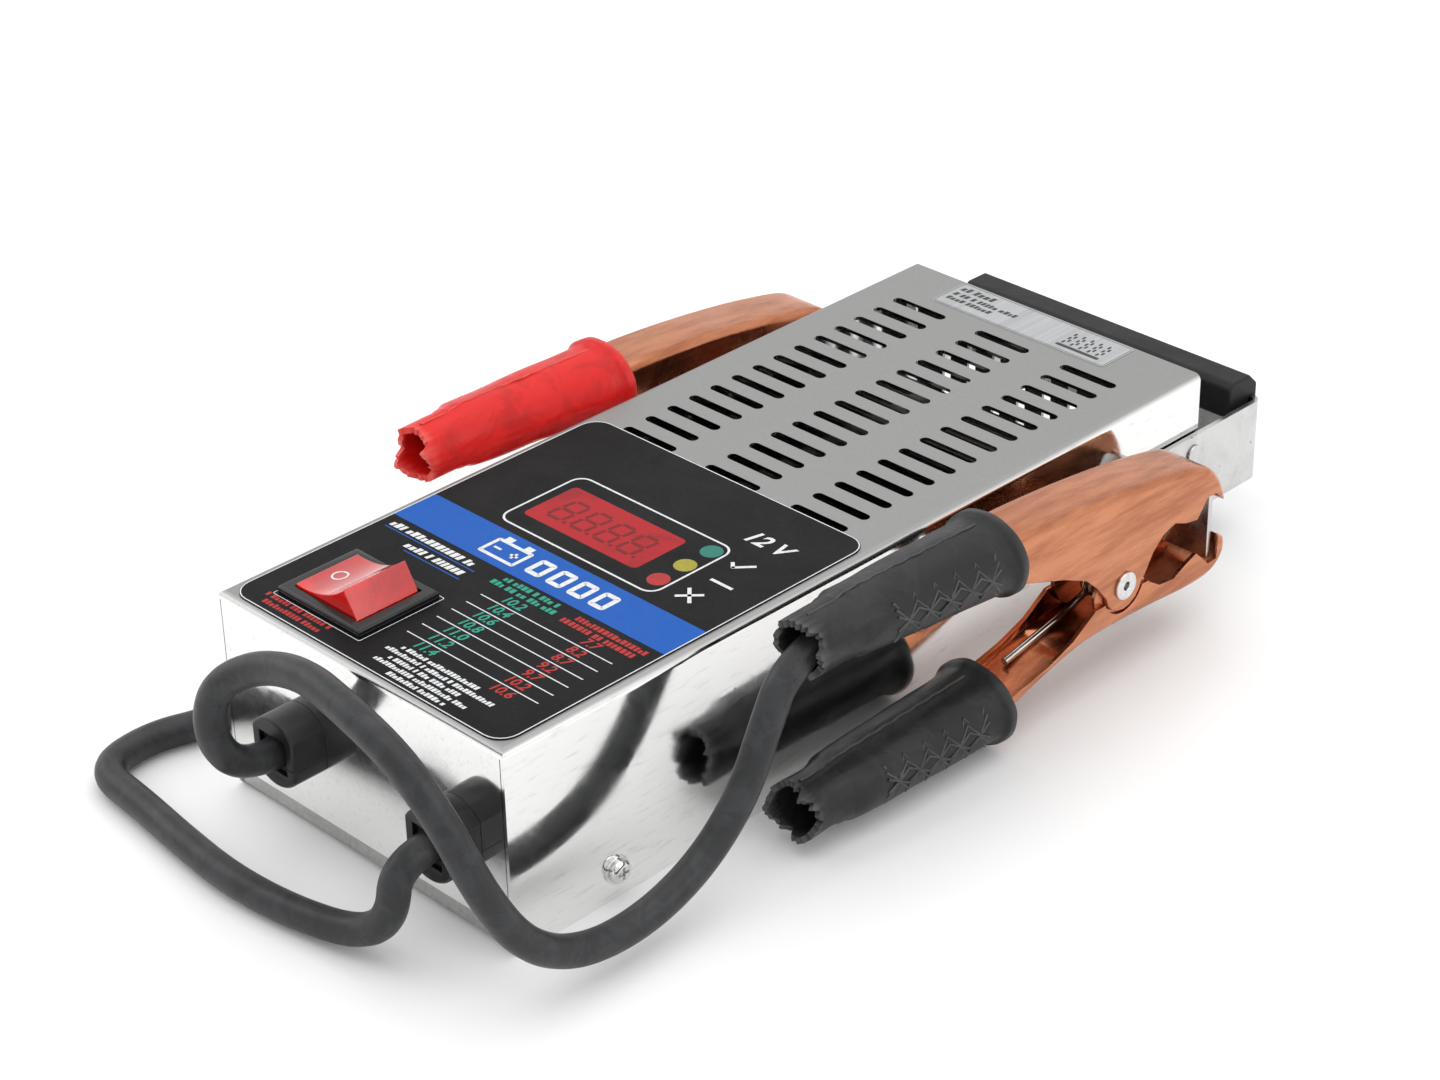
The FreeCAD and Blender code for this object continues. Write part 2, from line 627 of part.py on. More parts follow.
def board_parts():
    """Converter chip, regulator, capacitor and the lead socket under the board."""
    under = board_top() - BOARD_T
    y = (BOARD_Y[0] + BOARD_Y[1]) / 2.0
    chip = box(-CHIP[0] / 2.0 - CHIP_SHIFT, CHIP[0] / 2.0 - CHIP_SHIFT,
               y - CHIP[1] / 2.0, y + CHIP[1] / 2.0, under - CHIP[2], under)
    capacitor = rod((CAPACITOR_X, y + CAPACITOR_SHIFT, under), (0, 0, -1), CAPACITOR_H,
                    CAPACITOR_R)
    regulator, socket = [box(x0, x1, y + y0, y + y1, under - high, under)
                         for x0, x1, y0, y1, high in (REGULATOR, LEAD_SOCKET)]
    return [chip, regulator, capacitor, socket]


# ---------------------------------------------------------------- load element
def ribbon_y(index):
    return RIBBON_FIRST_Y + index * RIBBON_PITCH


def load_ribbon():
    """Resistance strip folded to and fro across the case, standing on edge."""
    turn = RIBBON_PITCH / 2.0
    pieces = []
    z0, z1 = RIBBON_Z, RIBBON_Z + RIBBON_H
    for index in range(RIBBON_PASSES):
        y = ribbon_y(index)
        pieces.append(box(-RIBBON_HALF, RIBBON_HALF, y - RIBBON_T / 2.0, y + RIBBON_T / 2.0,
                          z0, z1))
        if index == RIBBON_PASSES - 1:
            break
        side = 1 if index % 2 == 0 else -1
        x = side * RIBBON_HALF
        ring = rod((x, y + turn, z0), (0, 0, 1), RIBBON_H, turn + RIBBON_T / 2.0)
        ring = ring.cut(rod((x, y + turn, z0), (0, 0, 1), RIBBON_H, turn - RIBBON_T / 2.0))
        reach = sorted((x, x + side * (turn + RIBBON_T)))
        pieces.append(ring.common(box(reach[0], reach[1], y - 1, y + RIBBON_PITCH + 1, z0, z1)))
    return join(pieces)


def insulator_rail(side):
    """Notched ceramic rail that holds every pass of the strip."""
    x = side * RAIL_X
    floor = TRAY_LIFT + SHEET
    y0 = ribbon_y(0) - RIBBON_PITCH / 2.0
    y1 = ribbon_y(RIBBON_PASSES - 1) + RIBBON_PITCH / 2.0
    rail = box(x - RAIL_T / 2.0, x + RAIL_T / 2.0, y0, y1, floor, floor + RAIL_H)
    width = RIBBON_T + 2 * NOTCH_GAP
    notches = [box(x - RAIL_T, x + RAIL_T, ribbon_y(i) - width / 2.0, ribbon_y(i) + width / 2.0,
                   RIBBON_Z, TOP) for i in range(RIBBON_PASSES)]
    return rail.cut(Part.makeCompound(notches))


def bus_bars():
    """Copper bars: black lead to switch, switch to strip, strip to red lead."""
    spade_z = TOP + LABEL_T - BODY_DEPTH - SPADE_DROP
    right = SWITCH_X + SPADE_X
    left = SWITCH_X - SPADE_X
    thick = BAR_T
    y_lead = LEAD_END_Y
    lead_z = GLAND_Z
    bars = {}
    first = box(right - thick - SPADE_T / 2.0, right - SPADE_T / 2.0, SWITCH_Y - SPADE_Y,
                y_lead, spade_z, spade_z + BAR_W)
    foot = box(GLAND_X[0] - BAR_W / 2.0, right - SPADE_T / 2.0, y_lead - thick, y_lead,
               lead_z - BAR_W / 2.0, lead_z + BAR_W / 2.0)
    bars["bus_bar_line"] = join([first, foot])
    y_strip = ribbon_y(0) - RIBBON_T / 2.0
    run = box(left - thick - SPADE_T / 2.0, left - SPADE_T / 2.0, SWITCH_Y - SPADE_Y, y_strip,
              spade_z, spade_z + BAR_W)
    strip_foot = box(left - BAR_W, left - SPADE_T / 2.0, y_strip - thick, y_strip,
                     RIBBON_Z, spade_z + BAR_W)
    bars["bus_bar_load"] = join([run, strip_foot])
    return bars


# ---------------------------------------------------------------- cables
def rounded_path(points):
    """Straight runs joined by tangent arcs; returns the wire and the radii."""
    pts = [V(*p) for p in points]
    edges = []
    radii = []
    start = pts[0]
    for before, corner, after in zip(pts, pts[1:], pts[2:]):
        into = corner - before
        out = after - corner
        turn = into.getAngle(out)
        reach = 0.45 * min(into.Length, out.Length)
        radius = reach / math.tan(turn / 2.0)
        u_in = V(into).normalize()
        u_out = V(out).normalize()
        a = corner - u_in * reach
        b = corner + u_out * reach
        to_centre = (u_out - u_in).normalize()
        centre = corner + to_centre * (radius / math.cos(turn / 2.0))
        middle = centre - to_centre * radius
        edges.append(Part.LineSegment(start, a).toShape())
        edges.append(Part.Arc(a, middle, b).toShape())
        radii.append(radius)
        start = b
    edges.append(Part.LineSegment(start, pts[-1]).toShape())
    return Part.Wire(edges), radii


def tube(name, points, radius):
    """Round cable along a rounded path, with its volume compared."""
    wire, radii = rounded_path(points)
    first = V(*points[1]) - V(*points[0])
    disc = Part.Wire(Part.makeCircle(radius, V(*points[0]), first))
    solid = wire.makePipeShell([disc], True, False)
    expected = math.pi * radius * radius * wire.Length
    print(f"{name}: length {wire.Length:.1f}, radii " + " ".join(f"{r:.0f}" for r in radii)
          + f", volume {solid.Volume:.0f} of {expected:.0f}")
    return solid


def inner_lead(x, y_end):
    """Cable inside the case, from the gland's pocket straight back."""
    start = -GLAND_HEAD + GLAND_POCKET
    return rod((x, start, GLAND_Z), (0, 1, 0), y_end - start, CABLE_D / 2.0)


# ---------------------------------------------------------------- clamps
UPPER_BACK = ((112.0, 58.8), (128.0, 58.8), (146.0, 60.0), (165.4, 59.4), (186.2, 57.4),
              (204.6, 54.8), (219.0, 52.0), (227.5, 48.9), (232.4, 43.0), (234.6, 36.4))
UPPER_LOWER = ((232.2, 38.6), (229.8, 41.0), (225.6, 41.0), (221.6, 36.0), (216.9, 36.9),
               (212.0, 38.9), (207.4, 37.6), (203.2, 34.0), (200.0, 28.8))
UPPER_REAR = ((180.2, 32.9), (175.5, 37.2), (166.4, 41.4), (146.5, 48.7), (128.0, 50.4),
              (112.0, 50.8))
LOWER_BACK = ((108.0, 7.6), (126.0, 7.8), (144.4, 10.2), (161.8, 14.9), (176.5, 17.6),
              (191.8, 17.6), (207.4, 16.6), (224.0, 15.6), (231.0, 17.0), (234.6, 20.6),
              (235.0, 25.2))
LOWER_FRONT = ((231.4, 27.2), (231.0, 20.2), (227.4, 20.2), (222.0, 25.6), (217.6, 24.0),
               (212.6, 21.8), (206.6, 22.6), (202.0, 25.6), (200.0, 28.6))
LOWER_REAR = ((182.4, 31.4), (179.6, 25.8), (171.4, 20.8), (161.7, 17.6), (144.4, 14.4),
              (126.0, 13.0), (108.0, 12.8))
EAR_TOP = ((198.4, 33.0), (195.0, 36.0), (188.0, 36.0), (184.6, 33.6))


def sheet_inset(points, distance):
    """Shift an open outline sideways by a distance, with mitred corners."""
    moved = []
    for index, (y, z) in enumerate(points):
        normals = []
        for p, q in ((index - 1, index), (index, index + 1)):
            if p < 0 or q >= len(points):
                continue
            dy, dz = points[q][0] - points[p][0], points[q][1] - points[p][1]
            size = math.hypot(dy, dz)
            normals.append((dz / size, -dy / size))
        ny = sum(n[0] for n in normals) / len(normals)
        nz = sum(n[1] for n in normals) / len(normals)
        square = ny * ny + nz * nz
        moved.append((y + ny * distance / square, z + nz * distance / square))
    return moved


def across(back, rest, x0, x1):
    """Outline of a smooth back edge and straight edges, pushed from x0 to x1."""
    curve = Part.BSplineCurve()
    curve.interpolate([V(x0, y, z) for y, z in back])
    corners = [V(x0, y, z) for y, z in [back[-1]] + list(rest) + [back[0]]]
    edges = [curve.toShape()]
    edges += [Part.LineSegment(a, b).toShape() for a, b in zip(corners, corners[1:])]
    return Part.Face(Part.Wire(edges)).extrude(V(x1 - x0, 0, 0))


def pin_disc(radius, x0, x1):
    return rod((x0, PIN_Y, PIN_Z), (1, 0, 0), x1 - x0, radius)


def solid_blank(back, rest):
    """Outer shape of a clamp half, before it is made hollow."""
    blank = across(back, rest, -JAW_W / 2.0, JAW_W / 2.0)
    bends = [edge for edge in blank.Edges if isinstance(edge.Curve, Part.BSplineCurve)]
    return blank.makeFillet(JAW_BEND_R, bends)


def upper_rest():
    lobe = []
    for degrees in range(-10, -171, -20):
        angle = math.radians(degrees)
        lobe.append((PIN_Y + LOBE_R * math.cos(angle), PIN_Z + LOBE_R * math.sin(angle)))
    return list(UPPER_LOWER) + lobe + list(UPPER_REAR)


def lower_rest():
    return list(LOWER_FRONT) + list(EAR_TOP) + list(LOWER_REAR)


def bent_blank(back, rest, far_z):
    """Channel pressed from sheet: a web along the back and two side walls."""
    half = JAW_W / 2.0
    blank = solid_blank(back, rest)
    inside = sheet_inset(back, JAW_T if far_z < 0 else -JAW_T)
    beyond = [(inside[-1][0], far_z), (inside[0][0] - 20.0, far_z),
              (inside[0][0] - 20.0, inside[0][1])]
    return blank.cut(across(inside, beyond, -half + JAW_T, half - JAW_T))


def upper_half():
    """Deep channel with the web on top; its side walls carry the lobes."""
    half = JAW_W / 2.0
    blank = bent_blank(UPPER_BACK, upper_rest(), UPPER_BLANK_FAR_Z)
    return blank.cut(pin_disc(PIN_R + PIN_GAP, -half - 1, half + 1))


def lower_half():
    """Shallow channel with the web below; its ears step in beside the lobes."""
    half = JAW_W / 2.0
    rest = lower_rest()
    whole = bent_blank(LOWER_BACK, rest, LOWER_BLANK_FAR_Z)
    for side in (-1, 1):
        outer = side * half
        step = outer - side * (JAW_T + EAR_GAP)
        inner = step - side * JAW_T
        layer = sorted((outer - side * JAW_T / 2.0, inner))
        ear = across(LOWER_BACK, rest, layer[0], layer[1])
        whole = whole.fuse(ear.common(pin_disc(EAR_R, layer[0], layer[1])))
        layer = sorted((outer + side, step))
        whole = whole.cut(pin_disc(LOBE_R + LOBE_CLEAR, layer[0], layer[1]))
        whole = whole.cut(box(layer[0], layer[1], PIN_Y - SHOULDER, PIN_Y + SHOULDER,
                              PIN_Z - SHOULDER_DROP, PIN_Z + EAR_R))
    return whole.cut(pin_disc(PIN_R + PIN_GAP, -half - 1, half + 1))


def clamp_rivet():
    """Hollow rivet through both halves."""
    half = JAW_W / 2.0
    shank = pin_disc(PIN_R, -half, half)
    heads = [pin_disc(PIN_HEAD_R, half, half + PIN_HEAD_T),
             pin_disc(PIN_HEAD_R, -half - PIN_HEAD_T, -half)]
    whole = join([shank] + heads)
    return whole.cut(pin_disc(PIN_BORE, half - 2, half + 2)).cut(
        pin_disc(PIN_BORE, -half - 2, -half + 2))


def clamp_spring():
    """Torsion spring: coil round the rivet and the leg on the lower half."""
    wire_r = COIL_WIRE / 2.0
    coils = []
    first = -COIL_TURNS * (COIL_WIRE + 0.1) / 2.0
    for turn in range(COIL_TURNS):
        x = first + (turn + 0.5) * (COIL_WIRE + 0.1)
        coils.append(Part.makeTorus(COIL_R, wire_r, V(x, PIN_Y, PIN_Z), V(1, 0, 0)))
    x = first + 0.5 * (COIL_WIRE + 0.1)
    coils.append(rod((first + wire_r * 0.6, PIN_Y, PIN_Z - COIL_R), (1, 0, 0),
                     COIL_TURNS * (COIL_WIRE + 0.1) - wire_r, wire_r * 0.9))
    tangent = V(x, PIN_Y, PIN_Z - COIL_R)
    foot = V(x, SPRING_FOOT[0], SPRING_FOOT[1])
    leg = Part.makeCylinder(wire_r, (foot - tangent).Length, tangent, foot - tangent)
    return join(coils + [leg])


def clamp_spring_leg():
    """Leg of the spring that bears on the upper half."""
    wire_r = COIL_WIRE / 2.0
    x = COIL_TURNS * (COIL_WIRE + 0.1) / 2.0 + wire_r + 0.3
    start = V(x, PIN_Y + 2.0, PIN_Z + COIL_R + wire_r + 0.4)
    end = V(x, SPRING_HEAD[0], SPRING_HEAD[1])
    return Part.makeCylinder(wire_r, (end - start).Length, start, end - start)


def ellipse_wire(y, z, half_w, half_h):
    curve = Part.Ellipse(V(0, y, z), half_w, half_h)
    if half_h > half_w:
        raise ValueError("sleeves are wider than tall")
    shape = curve.toShape()
    shape.rotate(V(0, y, z), V(1, 0, 0), 90)
    return Part.Wire(shape)


def sleeve(handle, collar_y, z_collar, z_neck):
    """Soft grip sleeve, stretched over the handle, with a narrow open neck."""
    end_y = collar_y - SLEEVE_LONG
    neck_y = end_y + NECK_LONG
    step_y = neck_y + 3.0

    def skin(inset):
        big = (SLEEVE_BIG[0] - inset, SLEEVE_BIG[1] - inset)
        small = (SLEEVE_SMALL[0] - inset, SLEEVE_SMALL[1] - inset)
        tip = (NECK_HALF[0] - inset, NECK_HALF[1] - inset)
        wires = [ellipse_wire(collar_y + (inset > 0), z_collar, *big),
                 ellipse_wire(step_y, z_neck, *small)]
        body = Part.makeLoft(wires, True, True)
        shoulder = Part.makeLoft([ellipse_wire(step_y, z_neck, *small),
                                  ellipse_wire(neck_y, z_neck, *tip)], True, True)
        neck = Part.makeLoft([ellipse_wire(neck_y, z_neck, *tip),
                              ellipse_wire(end_y - (inset > 0), z_neck, *tip)], True, True)
        return join([body, shoulder, neck])

    collar = Part.makeLoft(
        [ellipse_wire(y, z_collar, SLEEVE_BIG[0] + COLLAR_OUT, SLEEVE_BIG[1] + COLLAR_OUT)
         for y in (collar_y, collar_y - COLLAR_LONG)], True, True)
    return join([skin(0.0), collar]).cut(skin(SLEEVE_T)).cut(handle)


def place(shape, side):
    """Put a piece made about X = 0 on the right or the left of the case."""
    placed = shape.copy()
    placed.translate(V(CLAMP_X, 0, 0))
    return placed if side > 0 else mirrored(placed)


# ---------------------------------------------------------------- build
def main():
    os.makedirs("parts", exist_ok=True)
    both = (-1, 1)

    write("cover", [cover()])
    write("base_tray", [tray()])
    write("case_screws", [case_screw(s, y, z) for s in both for y, z in SCREW_AT])
    write("screw_washers", [washer(s, y, z) for s in both for y, z in SCREW_AT])
    write("handle_strap", [strap()])
    write("strap_rivets", [strap_rivet(s, y, z) for s in both for y, z in RIVET_AT])
    write("handle_grip", [grip()])

    write("front_overlay", [overlay()])
    write("display_lens", [display_lens()])
    for name, y in zip(("lamp_window_red", "lamp_window_amber", "lamp_window_green"), LAMP_Y):
        write(name, [lamp_window(y)])
    write("heat_sticker", [heat_sticker()])

    write("switch_housing", [switch_housing()])
    write("switch_rocker", [switch_rocker()])
    write("switch_spades", switch_spades())

    write("circuit_board", [circuit_board()])
    studs, nuts = board_studs()
    write("board_studs", studs)
    write("board_nuts", nuts)
    write("display_module", [display_module()])
    write("status_leds", status_leds())
    write("board_components", board_parts())

    write("load_ribbon", [load_ribbon()])
    write("insulator_rail_left", [insulator_rail(-1)])
    write("insulator_rail_right", [insulator_rail(1)])
    for name, bar in bus_bars().items():
        write(name, [bar])

    for name, x in zip(("black", "red"), GLAND_X):
        upper, lower = gland(x)
        write(name + "_gland_upper", [upper])
        write(name + "_gland_lower", [lower])
    write("black_inner_lead", [inner_lead(GLAND_X[0], LEAD_END_Y - BAR_T)])
    write("red_inner_lead", [inner_lead(GLAND_X[1], ribbon_y(0) - RIBBON_T / 2.0)])

    write("black_cable", [tube("black cable", BLACK_ROUTE, CABLE_D / 2.0)])
    write("red_cable", [tube("red cable", RED_ROUTE, CABLE_D / 2.0)])

    for name, side in (("black", 1), ("red", -1)):
        write(name + "_clamp_upper", [place(upper_half(), side)])
        write(name + "_clamp_lower", [place(lower_half(), side)])
        write(name + "_clamp_rivet", [place(clamp_rivet(), side)])
        write(name + "_clamp_spring", [place(clamp_spring(), side)])
        write(name + "_spring_leg", [place(clamp_spring_leg(), side)])
        handle = solid_blank(UPPER_BACK, upper_rest())
        write(name + "_sleeve_upper", [place(sleeve(handle, *UPPER_SLEEVE), side)])
        handle = solid_blank(LOWER_BACK, lower_rest())
        write(name + "_sleeve_lower", [place(sleeve(handle, *LOWER_SLEEVE), side)])


main()
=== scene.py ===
"""Looks of the hand-held battery load tester: case, printed front, clamps and cables."""
import logging
import math
import random
from dataclasses import dataclass, field
from enum import Enum
from typing import Callable, Iterable, Sequence

import bmesh
import bpy
from mathutils import Matrix, Vector, noise


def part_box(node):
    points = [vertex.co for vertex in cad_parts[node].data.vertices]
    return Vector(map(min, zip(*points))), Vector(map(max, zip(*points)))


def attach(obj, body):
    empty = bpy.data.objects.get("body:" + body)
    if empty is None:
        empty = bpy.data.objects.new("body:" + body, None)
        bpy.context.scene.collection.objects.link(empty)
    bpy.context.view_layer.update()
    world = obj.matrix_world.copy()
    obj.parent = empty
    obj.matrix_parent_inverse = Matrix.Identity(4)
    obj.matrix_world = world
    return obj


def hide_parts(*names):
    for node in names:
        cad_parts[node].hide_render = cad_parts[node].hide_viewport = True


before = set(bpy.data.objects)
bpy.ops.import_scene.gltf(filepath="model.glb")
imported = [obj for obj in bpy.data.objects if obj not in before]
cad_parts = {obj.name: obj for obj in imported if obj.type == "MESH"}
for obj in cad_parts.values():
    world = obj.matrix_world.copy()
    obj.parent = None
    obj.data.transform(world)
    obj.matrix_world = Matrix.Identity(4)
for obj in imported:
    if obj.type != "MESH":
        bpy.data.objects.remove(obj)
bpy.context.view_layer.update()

LOG = logging.getLogger("tester")
MM = 0.001

COVER_LOW, COVER_HIGH = (Vector(corner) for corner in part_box("cover"))
FRONT_Y = COVER_LOW.y
LABEL_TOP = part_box("front_overlay")[1][2]
STICKER_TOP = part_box("heat_sticker")[1][2]
BEZEL_LOW, BEZEL_HIGH = (Vector(corner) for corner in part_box("switch_housing"))

Point = tuple[float, float, float]
Colour = tuple[float, float, float]


def place(x: float, y: float, z: float) -> Vector:
    """Turns millimetres from the middle, the front panel and the floor into the frame.

    Args:
        x: Distance to the right of the case's middle.
        y: Distance behind the front panel.
        z: Height above the surface that the case stands on.

    Returns:
        The point in metres in the shared frame.
    """
    return Vector((x * MM, y * MM + FRONT_Y, z * MM))


# ------------------------------------------------------------------ shader building
class Tree:
    """A node tree with short calls to add and join nodes."""

    def __init__(self, tree: bpy.types.NodeTree) -> None:
        """Wraps a node tree.

        Args:
            tree: The material's or the group's tree.
        """
        self.tree = tree

    def add(self, kind: str, **settings: object) -> bpy.types.Node:
        """Adds a node and sets its properties and unlinked inputs.

        Args:
            kind: The node's type name.
            **settings: Property names, or input names with underscores for spaces.

        Returns:
            The new node.
        """
        node = self.tree.nodes.new(kind)
        for key, value in settings.items():
            if hasattr(node, key):
                setattr(node, key, value)
            else:
                node.inputs[key.replace("_", " ")].default_value = value
        return node

    def join(self, source: bpy.types.NodeSocket, target: bpy.types.NodeSocket) -> None:
        """Links one socket to another."""
        self.tree.links.new(source, target)

    def mix(self, factor: bpy.types.NodeSocket, first: object, second: object) -> bpy.types.NodeSocket:
        """Mixes two colours.

        Args:
            factor: Socket with the share of the second colour.
            first: A colour, or a socket that gives one.
            second: A colour, or a socket that gives one.

        Returns:
            The mixed colour's socket.
        """
        node = self.add("ShaderNodeMix", data_type="RGBA")
        self.join(factor, node.inputs[0])
        for value, socket in ((first, node.inputs[6]), (second, node.inputs[7])):
            if isinstance(value, bpy.types.NodeSocket):
                self.join(value, socket)
            else:
                socket.default_value = (*value, 1.0)
        return node.outputs[2]

    def spread(self, source: bpy.types.NodeSocket, low: float, high: float,
               start: float = 0.0, end: float = 1.0) -> bpy.types.NodeSocket:
        """Maps a value from one range to another, held at both ends.

        Args:
            source: The value's socket.
            low: Result at the start of the source range.
            high: Result at the end of the source range.
            start: Start of the source range.
            end: End of the source range.

        Returns:
            The mapped value's socket.
        """
        node = self.add("ShaderNodeMapRange", clamp=True)
        for name, value in (("From Min", start), ("From Max", end), ("To Min", low), ("To Max", high)):
            node.inputs[name].default_value = value
        self.join(source, node.inputs["Value"])
        return node.outputs["Result"]


class Effect(Enum):
    """The shared surface effects, by the name of their node group."""

    GRAIN = "fine_grain"
    STREAKS = "drawn_streaks"
    SMUDGES = "handling_smudges"
    # Lighter convex edges: partly wear, partly a painted highlight.
    WEAR_AND_HIGHLIGHT = "edge_wear_and_highlight"
    SPECKS = "dust_specks"


def new_group(effect: Effect, inputs: Sequence[tuple[str, float]],
              outputs: Sequence[str]) -> tuple[Tree, bpy.types.Node, bpy.types.Node]:
    """Starts a shader node group.

    Args:
        effect: Which effect the group makes.
        inputs: Input names with their starting values.
        outputs: Names of the values that it gives.

    Returns:
        The tree, its input node and its output node.
    """
    group = bpy.data.node_groups.new(effect.value, "ShaderNodeTree")
    for name, value in inputs:
        socket = group.interface.new_socket(name, in_out="INPUT", socket_type="NodeSocketFloat")
        socket.default_value = value
    for name in outputs:
        group.interface.new_socket(name, in_out="OUTPUT", socket_type="NodeSocketFloat")
    tree = Tree(group)
    return tree, tree.add("NodeGroupInput"), tree.add("NodeGroupOutput")


def build_grain() -> None:
    """Makes the even fine grain of moulded plastic, film and blasted metal."""
    tree, given, result = new_group(Effect.GRAIN, [("Scale", 900.0)], ["Value"])
    where = tree.add("ShaderNodeTexCoord")
    pattern = tree.add("ShaderNodeTexNoise", Detail=3.0, Roughness=0.6)
    tree.join(where.outputs["Object"], pattern.inputs["Vector"])
    tree.join(given.outputs["Scale"], pattern.inputs["Scale"])
    tree.join(pattern.outputs["Fac"], result.inputs["Value"])


def build_streaks() -> None:
    """Makes long thin marks that run along the Y axis."""
    tree, given, result = new_group(Effect.STREAKS, [("Across", 700.0), ("Along", 14.0)], ["Value"])
    where = tree.add("ShaderNodeTexCoord")
    stretch = tree.add("ShaderNodeVectorMath", operation="MULTIPLY")
    scale = tree.add("ShaderNodeCombineXYZ")
    tree.join(given.outputs["Across"], scale.inputs["X"])
    tree.join(given.outputs["Along"], scale.inputs["Y"])
    tree.join(given.outputs["Across"], scale.inputs["Z"])
    tree.join(where.outputs["Object"], stretch.inputs[0])
    tree.join(scale.outputs["Vector"], stretch.inputs[1])
    pattern = tree.add("ShaderNodeTexNoise", Scale=1.0, Detail=4.0, Roughness=0.65)
    tree.join(stretch.outputs["Vector"], pattern.inputs["Vector"])
    tree.join(pattern.outputs["Fac"], result.inputs["Value"])


def build_smudges() -> None:
    """Makes the large soft patches that hands leave."""
    tree, given, result = new_group(Effect.SMUDGES, [("Scale", 45.0)], ["Value"])
    where = tree.add("ShaderNodeTexCoord")
    pattern = tree.add("ShaderNodeTexNoise", Detail=5.0, Roughness=0.7, Distortion=0.6)
    tree.join(where.outputs["Object"], pattern.inputs["Vector"])
    tree.join(given.outputs["Scale"], pattern.inputs["Scale"])
    tree.join(tree.spread(pattern.outputs["Fac"], 0.0, 1.0, 0.35, 0.7), result.inputs["Value"])


def build_wear_and_highlight() -> None:
    """Makes a mask of the convex edges, broken up by noise; the lighter colour laid there is partly wear and
    partly a painted highlight.
    """
    tree, given, result = new_group(Effect.WEAR_AND_HIGHLIGHT, [("Start", 0.53), ("End", 0.6)], ["Value"])
    shape = tree.add("ShaderNodeNewGeometry")
    reach = tree.add("ShaderNodeMapRange", clamp=True)
    tree.join(shape.outputs["Pointiness"], reach.inputs["Value"])
    tree.join(given.outputs["Start"], reach.inputs["From Min"])
    tree.join(given.outputs["End"], reach.inputs["From Max"])
    where = tree.add("ShaderNodeTexCoord")
    breaks = tree.add("ShaderNodeTexNoise", Scale=300.0, Detail=4.0)
    tree.join(where.outputs["Object"], breaks.inputs["Vector"])
    both = tree.add("ShaderNodeMath", operation="MULTIPLY")
    tree.join(reach.outputs["Result"], both.inputs[0])
    tree.join(breaks.outputs["Fac"], both.inputs[1])
    tree.join(both.outputs[0], result.inputs["Value"])


def build_specks() -> None:
    """Makes a scatter of tiny round specks."""
    tree, given, result = new_group(Effect.SPECKS, [("Scale", 260.0), ("Size", 0.06)], ["Value"])
    where = tree.add("ShaderNodeTexCoord")
    cells = tree.add("ShaderNodeTexVoronoi", feature="F1")
    tree.join(where.outputs["Object"], cells.inputs["Vector"])
    tree.join(given.outputs["Scale"], cells.inputs["Scale"])
    below = tree.add("ShaderNodeMath", operation="LESS_THAN")
    tree.join(cells.outputs["Distance"], below.inputs[0])
    tree.join(given.outputs["Size"], below.inputs[1])
    tree.join(below.outputs[0], result.inputs["Value"])


